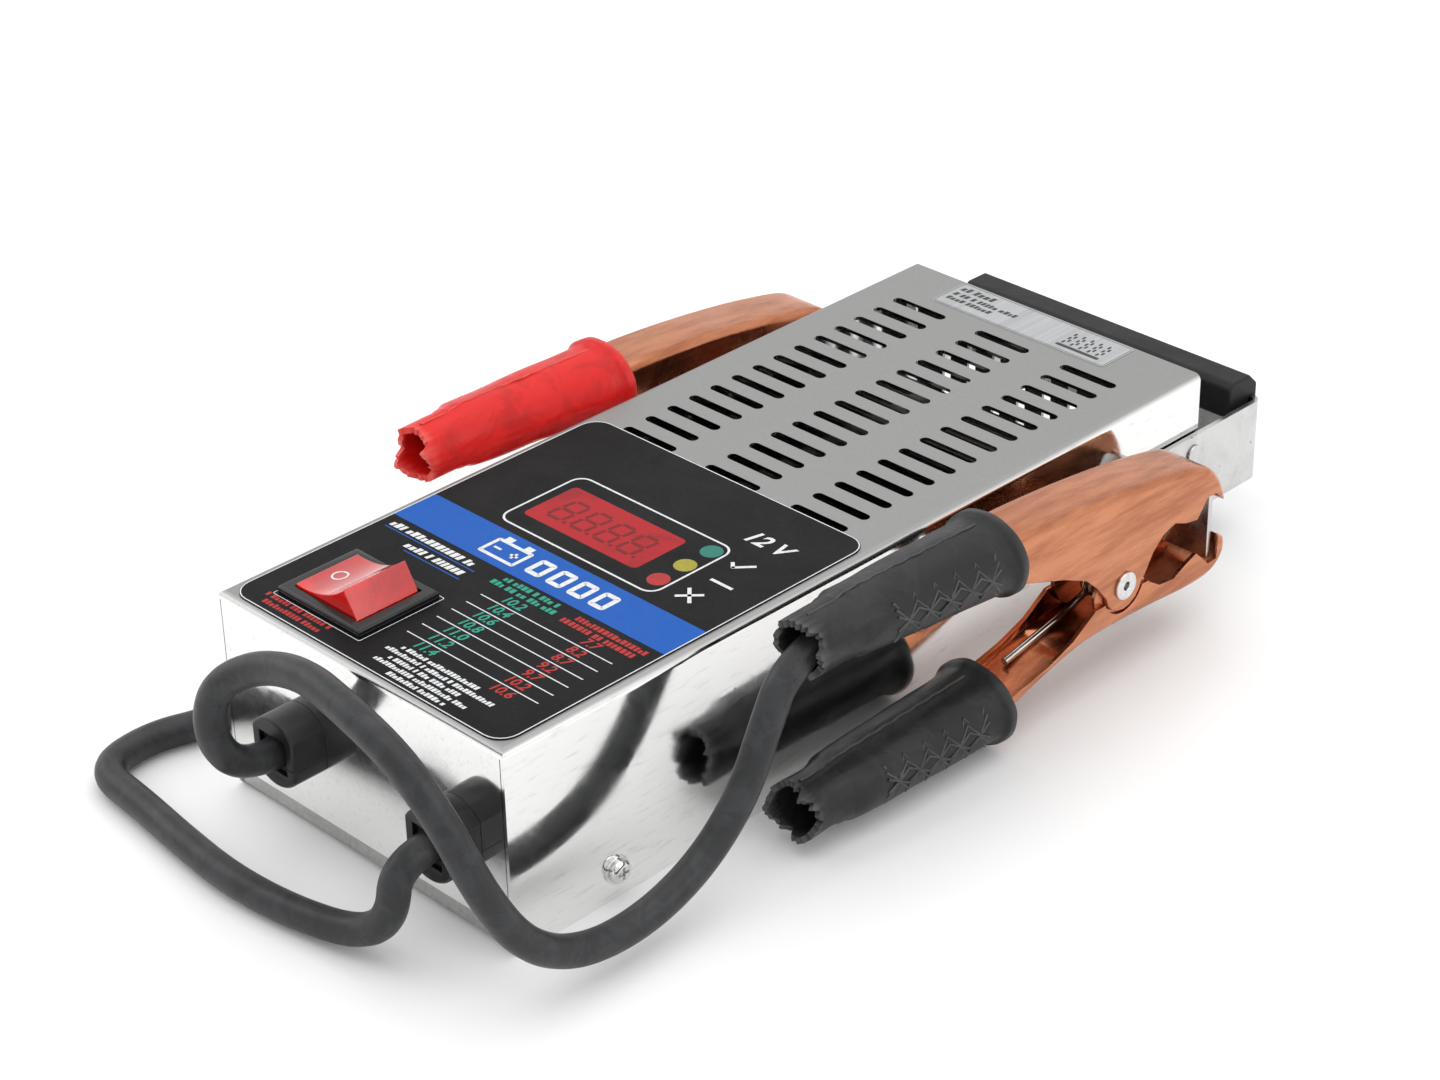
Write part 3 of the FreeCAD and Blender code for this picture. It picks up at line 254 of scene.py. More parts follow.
@dataclass(frozen=True)
class Finish:
    """One surface finish: a Principled shader varied by the shared effects."""

    name: str
    colour: Colour
    roughness: float
    metallic: float = 0.0
    second_colour: Colour | None = None
    pattern: Effect = Effect.GRAIN
    pattern_values: tuple[tuple[str, float], ...] = ()
    pattern_range: tuple[float, float] = (0.35, 0.65)
    roughness_swing: float = 0.08
    bump_depth: float = 0.02
    bump_size: float = 0.0002
    # Lighter colour on convex edges: partly wear, partly a painted highlight.
    wear_and_highlight_colour: Colour | None = None
    speck_colour: Colour | None = None
    speck_size: float = 0.05
    coat: float = 0.0
    specular: float = 0.5
    subsurface: float = 0.0
    transmission: float = 0.0

    def effect(self, tree: Tree, effect: Effect,
               values: Iterable[tuple[str, float]] = ()) -> bpy.types.NodeSocket:
        """Places a shared effect in the material.

        Args:
            tree: The material's tree.
            effect: Which effect.
            values: Input names and the values that they get here.

        Returns:
            The effect's value.
        """
        node = tree.add("ShaderNodeGroup", node_tree=bpy.data.node_groups[effect.value])
        for name, value in values:
            node.inputs[name].default_value = value
        return node.outputs["Value"]

    def build(self) -> bpy.types.Material:
        """Makes the material, or gives the one made before."""
        name = "finish_" + self.name
        known = bpy.data.materials.get(name)
        if known is not None:
            return known
        material = bpy.data.materials.new(name)
        material.use_nodes = True
        material.diffuse_color = (*self.colour, 1.0)
        tree = Tree(material.node_tree)
        tree.tree.nodes.clear()
        shader = tree.add("ShaderNodeBsdfPrincipled", Metallic=self.metallic)
        output = tree.add("ShaderNodeOutputMaterial")
        tree.join(shader.outputs["BSDF"], output.inputs["Surface"])
        shader.inputs["Coat Weight"].default_value = self.coat
        shader.inputs["Coat Roughness"].default_value = 0.08
        shader.inputs["Specular IOR Level"].default_value = self.specular
        shader.inputs["Subsurface Weight"].default_value = self.subsurface
        shader.inputs["Subsurface Scale"].default_value = 0.004
        shader.inputs["Transmission Weight"].default_value = self.transmission
        pattern = self.effect(tree, self.pattern, self.pattern_values)
        share = tree.spread(pattern, 0.0, 1.0, *self.pattern_range)
        other = self.second_colour or tuple(0.8 * part for part in self.colour)
        colour = tree.mix(share, self.colour, other)
        smudge = self.effect(tree, Effect.SMUDGES)
        if self.speck_colour is not None:
            speck = self.effect(tree, Effect.SPECKS, (("Size", self.speck_size),))
            colour = tree.mix(speck, colour, self.speck_colour)
        # Lays a lighter colour on convex edges: partly wear, partly a painted highlight.
        if self.wear_and_highlight_colour is not None:
            colour = tree.mix(self.effect(tree, Effect.WEAR_AND_HIGHLIGHT), colour, self.wear_and_highlight_colour)
        tree.join(colour, shader.inputs["Base Color"])
        low = max(0.02, self.roughness - self.roughness_swing)
        rough = tree.spread(smudge, low, self.roughness + self.roughness_swing)
        tree.join(rough, shader.inputs["Roughness"])
        bump = tree.add("ShaderNodeBump", Strength=self.bump_depth, Distance=self.bump_size)
        tree.join(pattern, bump.inputs["Height"])
        tree.join(bump.outputs["Normal"], shader.inputs["Normal"])
        self.finish(tree, shader)
        return material

    def finish(self, tree: Tree, shader: bpy.types.Node) -> None:
        """Leaves room for a finish that differs over one piece."""


@dataclass(frozen=True)
class CoverFinish(Finish):
    """Stainless sheet, blasted on top and polished like a mirror on its flanges."""

    side_colour: Colour = (0.86, 0.86, 0.85)
    side_roughness: float = 0.07

    def finish(self, tree: Tree, shader: bpy.types.Node) -> None:
        """Splits the finish by which way the sheet faces.

        Args:
            tree: The material's tree.
            shader: The material's Principled node.
        """
        shape = tree.add("ShaderNodeNewGeometry")
        parts = tree.add("ShaderNodeSeparateXYZ")
        tree.join(shape.outputs["Normal"], parts.inputs["Vector"])
        facing_up = tree.spread(parts.outputs["Z"], 0.0, 1.0, 0.45, 0.85)
        top_colour = shader.inputs["Base Color"].links[0].from_socket
        scratch = self.effect(tree, Effect.STREAKS, (("Across", 900.0), ("Along", 120.0)))
        marks = tree.spread(scratch, 0.0, 1.0, 0.56, 0.72)
        side = tree.mix(marks, self.side_colour, (0.70, 0.70, 0.69))
        tree.join(tree.mix(facing_up, side, top_colour), shader.inputs["Base Color"])
        top_rough = shader.inputs["Roughness"].links[0].from_socket
        smudge = self.effect(tree, Effect.SMUDGES, (("Scale", 70.0),))
        side_rough = tree.spread(smudge, self.side_roughness * 0.6, self.side_roughness * 2.2)
        blend = tree.add("ShaderNodeMix", data_type="FLOAT")
        tree.join(facing_up, blend.inputs[0])
        tree.join(side_rough, blend.inputs[2])
        tree.join(top_rough, blend.inputs[3])
        tree.join(blend.outputs[0], shader.inputs["Roughness"])


COVER = CoverFinish("blasted_and_polished_sheet", (0.34, 0.34, 0.336), 0.46, 1.0,
                    second_colour=(0.32, 0.32, 0.316), pattern_values=(("Scale", 1400.0),),
                    roughness_swing=0.02, bump_depth=0.05, bump_size=0.00004)
TRAY = Finish("plain_sheet", (0.50, 0.50, 0.49), 0.35, 1.0, pattern=Effect.STREAKS)
STRAP = Finish("zinc_strip", (0.62, 0.62, 0.61), 0.24, 1.0, second_colour=(0.50, 0.50, 0.49),
               pattern=Effect.SMUDGES, pattern_values=(("Scale", 60.0),), pattern_range=(0.2, 0.9),
               speck_colour=(0.30, 0.29, 0.28), speck_size=0.09, roughness_swing=0.12)
BRIGHT = Finish("bright_plating", (0.78, 0.78, 0.77), 0.16, 1.0)
FILM = Finish("black_film", (0.004, 0.004, 0.005), 0.48, second_colour=(0.008, 0.008, 0.009),
              specular=0.1,
              pattern_values=(("Scale", 1600.0),), bump_depth=0.10, bump_size=0.00004,
              speck_colour=(0.10, 0.10, 0.10), speck_size=0.018)
WHITE_INK = Finish("white_ink", (0.70, 0.71, 0.72), 0.45)
BLUE_INK = Finish("blue_ink", (0.0, 0.075, 0.36), 0.45, second_colour=(0.0, 0.085, 0.40), specular=0.2)
GREEN_INK = Finish("green_ink", (0.02, 0.30, 0.21), 0.45, specular=0.2)
RED_INK = Finish("red_ink", (0.42, 0.025, 0.022), 0.45, specular=0.2)
BLACK_INK = Finish("black_ink", (0.02, 0.02, 0.02), 0.45)
LENS = Finish("red_lens", (0.36, 0.001, 0.006), 0.2, second_colour=(0.26, 0.001, 0.004),
              coat=0.12, specular=0.15,
              pattern=Effect.SMUDGES, pattern_values=(("Scale", 40.0),))
DIGIT = Finish("unlit_digits", (0.17, 0.0, 0.002), 0.25, coat=0.12, specular=0.15)
LAMP_GREEN = Finish("green_lamp", (0.006, 0.17, 0.13), 0.3, coat=0.2, specular=0.2)
LAMP_AMBER = Finish("amber_lamp", (0.34, 0.29, 0.02), 0.3, coat=0.2, specular=0.2)
LAMP_RED = Finish("red_lamp", (0.40, 0.01, 0.012), 0.3, coat=0.2, specular=0.2)
STICKER = Finish("foil_sticker", (0.50, 0.51, 0.52), 0.38, 0.7, pattern=Effect.STREAKS,
                 bump_size=0.00003)
HOUSING = Finish("black_nylon_gloss", (0.008, 0.008, 0.009), 0.24, specular=0.35, coat=0.15)
ROCKER = Finish("red_rocker", (0.60, 0.006, 0.004), 0.14, second_colour=(0.46, 0.004, 0.003),
                pattern=Effect.SMUDGES, coat=0.8, subsurface=0.35)
GLAND = Finish("black_nylon", (0.011, 0.011, 0.012), 0.40, specular=0.35,
               bump_depth=0.15)
SHEATH = Finish("cable_sheath", (0.018, 0.0185, 0.020), 0.42, second_colour=(0.028, 0.029, 0.031),
                specular=0.36,
                pattern=Effect.SMUDGES, pattern_values=(("Scale", 120.0),), roughness_swing=0.07,
                bump_depth=0.15, bump_size=0.0004, speck_colour=(0.11, 0.11, 0.11),
                speck_size=0.02)
GRIP = Finish("grip_rubber", (0.011, 0.011, 0.012), 0.55, specular=0.3,
              bump_depth=0.3)
# Its lighter convex edges are partly wear and partly a painted highlight.
VINYL_BLACK = Finish("black_vinyl", (0.010, 0.010, 0.011), 0.42, second_colour=(0.018, 0.018, 0.019),
                     specular=0.32,
                     pattern=Effect.SMUDGES, pattern_values=(("Scale", 90.0),), bump_depth=0.25,
                     bump_size=0.0005, wear_and_highlight_colour=(0.10, 0.10, 0.10))
# Its lighter convex edges are partly wear and partly a painted highlight.
VINYL_RED = Finish("red_vinyl", (0.62, 0.010, 0.008), 0.38, second_colour=(0.50, 0.007, 0.006), specular=0.28,
                   pattern=Effect.SMUDGES, pattern_values=(("Scale", 80.0),), bump_depth=0.25,
                   bump_size=0.0005, wear_and_highlight_colour=(0.75, 0.12, 0.10), subsurface=0.1)
COPPER = Finish("copper_plate", (0.60, 0.245, 0.13), 0.27, 1.0, second_colour=(0.42, 0.150, 0.075),
                pattern=Effect.STREAKS, pattern_values=(("Across", 260.0), ("Along", 30.0)),
                pattern_range=(0.40, 0.64), bump_depth=0.30, roughness_swing=0.10)
SPRING = Finish("plated_spring_wire", (0.62, 0.60, 0.58), 0.20, 1.0, second_colour=(0.42, 0.36, 0.32),
                pattern=Effect.STREAKS)
BRASS = Finish("plain_brass", (0.72, 0.56, 0.28), 0.30, 1.0, pattern=Effect.STREAKS)
BOARD = Finish("green_board", (0.02, 0.16, 0.07), 0.35, coat=0.4)
MODULE = Finish("grey_moulding", (0.35, 0.35, 0.34), 0.5)
CHIP = Finish("black_epoxy", (0.02, 0.02, 0.02), 0.5)
RIBBON = Finish("resistance_strip", (0.20, 0.18, 0.17), 0.4, 1.0, pattern=Effect.STREAKS)
CERAMIC = Finish("unglazed_ceramic", (0.42, 0.40, 0.36), 0.8, bump_depth=0.4)


# ------------------------------------------------------------------ mesh building
def new_piece(name: str, mesh: bmesh.types.BMesh, finish: Finish, body: str,
              smooth_degrees: float = 35.0) -> bpy.types.Object:
    """Turns a bmesh into a finished piece that rides on a body.

    Args:
        name: The piece's name.
        mesh: Its shape, freed here.
        finish: What it is made of.
        body: The body that carries it.
        smooth_degrees: Edges sharper than this stay sharp.

    Returns:
        The new object.
    """
    data = bpy.data.meshes.new(name)
    mesh.to_mesh(data)
    mesh.free()
    data.shade_smooth()
    data.set_sharp_from_angle(angle=math.radians(smooth_degrees))
    piece = bpy.data.objects.new(name, data)
    bpy.context.scene.collection.objects.link(piece)
    data.materials.append(finish.build())
    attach(piece, body)
    LOG.info("%s: %d faces", name, len(data.polygons))
    return piece


def dress(node: str, finish: Finish) -> None:
    """Gives a CAD node its finish.

    Args:
        node: The node's name.
        finish: What it is made of.
    """
    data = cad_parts[node].data
    data.materials.clear()
    data.materials.append(finish.build())
    LOG.info("%s: %s", node, finish.name)


def eased(node: str, finish: Finish, body: str, width: float,
          segments: int = 2) -> bpy.types.Object:
    """Stands in for a CAD node with the same shape whose edges are slightly rounded.

    Args:
        node: The CAD node's name.
        finish: What it is made of.
        body: The body that carries it.
        width: Width of the rounding in millimetres.
        segments: Steps in the rounding.

    Returns:
        The new object.
    """
    mesh = bmesh.new()
    mesh.from_mesh(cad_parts[node].data)
    bmesh.ops.remove_doubles(mesh, verts=mesh.verts, dist=1e-6)
    bmesh.ops.dissolve_limit(mesh, angle_limit=math.radians(1.0), verts=mesh.verts,
                             edges=mesh.edges)
    piece = new_piece(node + "_eased", mesh, finish, body, 40.0)
    rounding = piece.modifiers.new("eased_edges", "BEVEL")
    rounding.width = width * MM
    rounding.segments = segments
    rounding.limit_method = "ANGLE"
    rounding.angle_limit = math.radians(40.0)
    rounding.use_clamp_overlap = True
    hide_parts(node)
    return piece


@dataclass
class Print:
    """One colour of flat print on a surface, gathered into one piece."""

    name: str
    finish: Finish
    height: float
    slot: str
    thickness: float = 0.02
    mesh: bmesh.types.BMesh = field(default_factory=bmesh.new)

    def bar(self, x: float, y: float, width: float, length: float, radius: float = 0.0) -> None:
        """Prints a rectangle.

        Args:
            x: Middle, from the case's middle, in millimetres.
            y: Middle, from the front panel, in millimetres.
            width: Size along X in millimetres.
            length: Size along Y in millimetres.
            radius: Corner radius in millimetres.
        """
        self.tile(x, y, width, length, radius)

    def tile(self, x: float, y: float, width: float, length: float,
             radius: float) -> list[bmesh.types.BMVert]:
        """Adds one flat rectangle with rounded corners and gives its corner points."""
        made = bmesh.ops.create_grid(self.mesh, x_segments=1, y_segments=1, size=0.5)
        corners = made["verts"]
        bmesh.ops.scale(self.mesh, verts=corners, vec=(width * MM, length * MM, 1.0))
        spot = place(x, y, 0.0)
        bmesh.ops.translate(self.mesh, verts=corners, vec=(spot.x, spot.y, self.height))
        if radius > 0.0:
            rounded = bmesh.ops.bevel(self.mesh, geom=corners, offset=radius * MM, segments=6,
                                      profile=0.5, affect="VERTICES", material=-1)
            return [vert for face in rounded["faces"] for vert in face.verts] or corners
        return corners

    def outline(self, x: float, y: float, width: float, length: float, radius: float,
                line: float) -> None:
        """Prints the outline of a rounded rectangle.

        Args:
            x: Middle along X in millimetres.
            y: Middle along Y in millimetres.
            width: Outer size along X in millimetres.
            length: Outer size along Y in millimetres.
            radius: Outer corner radius in millimetres.
            line: Width of the line in millimetres.
        """
        before = set(self.mesh.faces)
        self.tile(x, y, width, length, radius)
        inside = [face for face in self.mesh.faces if face not in before]
        bmesh.ops.inset_region(self.mesh, faces=inside, thickness=line * MM,
                                use_even_offset=True, use_boundary=True)
        bmesh.ops.delete(self.mesh, geom=inside, context="FACES")

    def disc(self, x: float, y: float, radius: float) -> None:
        """Prints a round spot, sizes in millimetres."""
        made = bmesh.ops.create_circle(self.mesh, cap_ends=True, segments=32, radius=radius * MM)
        spot = place(x, y, 0.0)
        bmesh.ops.translate(self.mesh, verts=made["verts"], vec=(spot.x, spot.y, self.height))

    def greeked(self, x: float, y: float, width: float, height: float, seed: int,
                slant: float = 0.0) -> None:
        """Prints a line of plain blocks in place of words.

        Args:
            x: Start of the line in millimetres.
            y: Middle of the line in millimetres.
            width: Length of the line in millimetres.
            height: Height of the blocks in millimetres.
            seed: Which arrangement of blocks.
            slant: How far the blocks' tops lean along X, as a share of their height.
        """
        chance = random.Random(seed)
        cursor = x
        while cursor < x + width - height * 0.4:
            block = height * chance.uniform(0.45, 0.72)
            tall = height * chance.choice((1.0, 1.0, 0.74))
            before = set(self.mesh.verts)
            self.tile(cursor + block / 2.0, y - (height - tall) / 2.0, block, tall, 0.0)
            middle = place(0.0, y, 0.0).y
            for vert in set(self.mesh.verts) - before:
                vert.co.x += (vert.co.y - middle) * slant
            cursor += block + height * (0.20 if chance.random() < 0.82 else 0.62)

    def figures(self, text: str, x: float, y: float, height: float, slant: float = 0.0,
                bold: float = 0.0) -> None:
        """Prints plain figures, centred.

        Args:
            text: Figures to print.
            x: Middle of the line in millimetres.
            y: Middle of the figures in millimetres.
            height: Height of the figures in millimetres.
            slant: Lean of the figures.
            bold: Extra weight in millimetres.
        """
        curve = bpy.data.curves.new(self.name + "_figures", "FONT")
        curve.body = text
        curve.size = height * MM * 1.38
        curve.shear = slant
        curve.offset = bold * MM
        curve.align_x = "CENTER"
        curve.align_y = "CENTER"
        curve.resolution_u = 3
        writer = bpy.data.objects.new(curve.name, curve)
        bpy.context.scene.collection.objects.link(writer)
        bpy.context.view_layer.update()
        shape = bpy.data.meshes.new_from_object(writer)
        spot = place(x, y, 0.0)
        shape.transform(Matrix.Translation((spot.x, spot.y, self.height)))
        self.mesh.from_mesh(shape)
        bpy.data.objects.remove(writer)
        bpy.data.curves.remove(curve)
        bpy.data.meshes.remove(shape)

    def done(self, body: str = "tester") -> bpy.types.Object:
        """Gives the print its thickness and makes it a piece."""
        bmesh.ops.remove_doubles(self.mesh, verts=self.mesh.verts, dist=1e-7)
        bmesh.ops.recalc_face_normals(self.mesh, faces=self.mesh.faces)
        raised = bmesh.ops.extrude_face_region(self.mesh, geom=self.mesh.faces[:])
        tops = [item for item in raised["geom"] if isinstance(item, bmesh.types.BMVert)]
        bmesh.ops.translate(self.mesh, verts=tops, vec=(0.0, 0.0, self.thickness * MM))
        bmesh.ops.recalc_face_normals(self.mesh, faces=self.mesh.faces)
        return new_piece(self.name, self.mesh, self.finish, body)


@dataclass
class FrontLabel:
    """The printed front: blue band, tables of figures, display frame and lamp signs."""

    half_width: float = 49.8
    near: float = 1.8
    far: float = 125.4
    band: tuple[float, float] = (54.2, 68.2)
    row_pitch: float = 4.7
    first_row: float = 45.4
    load_figures: tuple[str, ...] = ("10.2", "10.4", "10.6", "10.8", "11.0", "11.2", "11.4")
    crank_figures: tuple[str, ...] = ("7.7", "8.2", "8.7", "9.2", "9.7", "10.2", "10.6")

    def build(self) -> None:
        """Prints every colour."""
        dress("front_overlay", FILM)
        top = LABEL_TOP + 0.004 * MM
        self.blue(Print("print_blue", BLUE_INK, top, "printed_film"))
        self.white(Print("print_white", WHITE_INK, top + 0.024 * MM, "printed_film"))
        self.green(Print("print_green", GREEN_INK, top, "printed_film"))
        self.red(Print("print_red", RED_INK, top, "printed_film"))

    def blue(self, ink: Print) -> None:
        """Prints the band and the rules under the title."""
        middle = (self.band[0] + self.band[1]) / 2.0
        ink.bar(0.0, middle, 2.0 * self.half_width - 0.8, self.band[1] - self.band[0])
        ink.bar(-29.5, 48.9, 34.0, 0.35)
        ink.bar(-23.0, 43.9, 21.0, 0.35)
        ink.done()

    def white(self, ink: Print) -> None:
        """Prints the border, frames, rules, signs and lines of words."""
        length = self.far - self.near
        ink.outline(0.0, (self.near + self.far) / 2.0, 2.0 * self.half_width - 0.3, length - 0.3,
                    5.8, 0.32)
        ink.outline(-0.9, 85.85, 56.6, 29.7, 4.0, 0.6)
        for row in range(6):
            ink.bar(20.0, self.first_row - (row + 0.53) * self.row_pitch, 46.6, 0.34)
        ink.greeked(-46.0, 51.0, 32.0, 2.3, 3, 0.2)
        ink.greeked(-35.0, 46.2, 20.5, 2.3, 5, 0.2)
        for row, (start, width) in enumerate(((1.5, 27.0), (-1.4, 38.0), (2.5, 25.0), (0.0, 33.0),
                                              (7.5, 21.0))):
            ink.greeked(start, 14.0 - row * 2.45, width, 1.5, 11 + row, 0.15)
        self.battery_sign(ink, -14.0, 61.2)
        ink.figures("12 V", 30.5, 108.0, 5.4, 0.25, 0.16)
        self.lamp_signs(ink)
        bezel = (BEZEL_LOW + BEZEL_HIGH) / 2.0
        ink.outline(bezel.x / MM, (bezel.y - FRONT_Y) / MM, 33.0, 27.2, 0.6, 0.22)
        ink.done()

    def battery_sign(self, ink: Print, x: float, y: float) -> None:
        """Prints a plain battery outline with its terminals, and a row of blocks."""
        ink.outline(x, y - 0.5, 13.0, 8.0, 0.8, 1.1)
        for side in (-1.0, 1.0):
            ink.bar(x + side * 3.6, y + 4.4, 2.6, 1.8)
            ink.bar(x + side * 3.0, y - 0.5, 2.6, 0.8)
        ink.bar(x + 3.0, y - 0.5, 0.8, 2.6)
        for index, width in enumerate((5.6, 5.6, 5.6, 5.6)):
            middle = x + 12.4 + index * 7.6
            ink.outline(middle, y, width, 7.2, 1.2, 1.5)

    def lamp_signs(self, ink: Print) -> None:
        """Prints a tick, a dash and a cross beside the three lamps."""
        for start, end in (((31.0, 95.6), (32.6, 94.0)), ((32.6, 94.0), (36.4, 98.0)),
                           ((32.9, 86.4), (39.6, 86.4)),
                           ((32.0, 79.6), (36.6, 75.0)), ((32.0, 75.0), (36.6, 79.6))):
            self.stroke(ink, start, end, 1.0)

    def stroke(self, ink: Print, start: tuple[float, float], end: tuple[float, float],
               line: float) -> None:
        """Prints one straight stroke between two points."""
        dx, dy = end[0] - start[0], end[1] - start[1]
        middle = place((start[0] + end[0]) / 2.0, (start[1] + end[1]) / 2.0, 0.0)
        corners = ink.tile(0.0, 0.0, math.hypot(dx, dy) + line * 0.7, line, 0.0)
        home = place(0.0, 0.0, 0.0)
        turn = Matrix.Rotation(math.atan2(dy, dx), 3, "Z")
        bmesh.ops.rotate(ink.mesh, verts=corners, cent=(home.x, home.y, 0.0), matrix=turn)
        bmesh.ops.translate(ink.mesh, verts=corners, vec=(middle.x - home.x, middle.y - home.y, 0))

    def green(self, ink: Print) -> None:
        """Prints the left column of figures and its heading."""
        ink.greeked(-4.5, 52.0, 20.0, 1.9, 21)
        ink.greeked(-6.3, 49.2, 23.0, 1.9, 22)
        for row, text in enumerate(self.load_figures):
            ink.figures(text, 5.8, self.first_row - row * self.row_pitch, 3.1, 0.15, 0.09)
        ink.done()

    def red(self, ink: Print) -> None:
        """Prints the right column of figures, its heading and the words by the switch."""
        ink.greeked(22.0, 51.4, 24.0, 1.9, 31)
        ink.greeked(19.6, 48.6, 25.0, 1.9, 32)
        for row, text in enumerate(self.crank_figures):
            ink.figures(text, 33.0, self.first_row - row * self.row_pitch, 3.1, 0.15, 0.09)
        ink.greeked(-42.0, 7.6, 25.0, 1.7, 41)
        ink.greeked(-40.0, 4.9, 22.0, 1.7, 42)
        ink.done()


@dataclass
class DisplayWindow:
    """The red window with its unlit figures, and the three lamps."""

    digit_height: float = 9.6
    digit_width: float = 5.2
    pitch: float = 8.4
    line: float = 1.1
    lean: float = 0.12

    def build(self) -> None:
        """Dresses the window and lamps and lays the unlit figures in the window."""
        for node, finish in (("display_lens", LENS), ("lamp_window_green", LAMP_GREEN),
                             ("lamp_window_amber", LAMP_AMBER), ("lamp_window_red", LAMP_RED)):
            dress(node, finish)
        low, high = (Vector(corner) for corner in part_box("display_lens"))
        middle = (low + high) / 2.0
        ink = Print("unlit_figures", DIGIT, high.z + 0.004 * MM, "red_window")
        x0 = middle.x / MM - 1.5 * self.pitch
        y0 = (middle.y - FRONT_Y) / MM - 0.6
        for index in range(4):
            self.digit(ink, x0 + index * self.pitch, y0)
        ink.done()

    def digit(self, ink: Print, x: float, y: float) -> None:
        """Lays the seven bars and the point of one figure."""
        half_w, half_h = self.digit_width / 2.0, self.digit_height / 2.0
        before = set(ink.mesh.verts)
        for step in (-1.0, 0.0, 1.0):
            ink.bar(x, y + step * half_h, self.digit_width - self.line, self.line, 0.3)
        for side in (-1.0, 1.0):
            for step in (-0.5, 0.5):
                ink.bar(x + side * half_w, y + step * half_h * 1.0, self.line,
                        half_h - self.line * 0.8, 0.3)
        ink.bar(x + half_w + 1.5, y - half_h, self.line, self.line, 0.3)
        middle = place(0.0, y, 0.0).y
        for vert in set(ink.mesh.verts) - before:
            vert.co.x += (vert.co.y - middle) * self.lean


@dataclass
class Sticker:
    """The foil sticker behind the vents, with plain heat signs."""

    def build(self) -> None:
        """Dresses the foil and prints its border, blocks and wavy lines."""
        dress("heat_sticker", STICKER)
        low, high = (Vector(corner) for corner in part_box("heat_sticker"))
        middle = (low + high) / 2.0
        x, y = middle.x / MM, (middle.y - FRONT_Y) / MM
        width, length = (high.x - low.x) / MM, (high.y - low.y) / MM
        ink = Print("sticker_print", BLACK_INK, STICKER_TOP + 0.004 * MM, "silver_film")
        ink.outline(x, y, width - 0.8, length - 0.8, 1.2, 0.16)
        ink.greeked(x - 29.0, y + 4.0, 13.0, 2.5, 51, 0.15)
        ink.greeked(x - 29.0, y + 0.3, 24.0, 1.9, 52, 0.15)
        ink.greeked(x - 29.0, y - 2.7, 17.0, 1.9, 53, 0.15)
        ink.bar(x + 20.0, y - 4.4, 15.0, 1.3, 0.5)
        for column in range(5):
            for row in range(5):
                shift = 0.5 if row % 2 else -0.5
                ink.bar(x + 14.0 + column * 3.0 + shift, y - 2.4 + row * 1.35, 0.7, 1.6, 0.3)
        ink.done()


@dataclass
class Switch:
    """The rocker switch in its bezel."""

    ring_radius: float = 2.3
    ring_line: float = 0.55

    def build(self) -> None:
        """Rounds the mouldings and puts the ring on the rocker."""
        eased("switch_housing", HOUSING, "tester", 0.35, 3)
        eased("switch_rocker", ROCKER, "rocker", 0.45, 4)
        dress("switch_spades", BRASS)
        self.ring()

    def ring(self) -> None:
        """Prints the ring near the pressed end, on the hollow of the rocker."""
        low, high = (Vector(corner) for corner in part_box("switch_rocker"))
        middle_y = (low.y + high.y) / 2.0
        centre = Vector((BEZEL_LOW.x + 8.9 * MM, middle_y, BEZEL_HIGH.z + 3.0 * MM))
        mesh = bmesh.new()
        outer = bmesh.ops.create_circle(mesh, cap_ends=True, segments=32,
                                        radius=self.ring_radius * MM)
        face = mesh.faces[:]
        bmesh.ops.inset_region(mesh, faces=face, thickness=self.ring_line * MM, use_boundary=True)
        bmesh.ops.delete(mesh, geom=face, context="FACES")
        rocker = bpy.data.objects["switch_rocker_eased"]
        for vert in mesh.verts:
            start = vert.co + centre
            hit, spot, _normal, _index = rocker.ray_cast(start, Vector((0.0, 0.0, -1.0)))
            vert.co = spot + Vector((0.0, 0.0, 0.03 * MM)) if hit else start
        LOG.info("ring: %d points", len(outer["verts"]))
        new_piece("rocker_ring", mesh, WHITE_INK, "rocker")


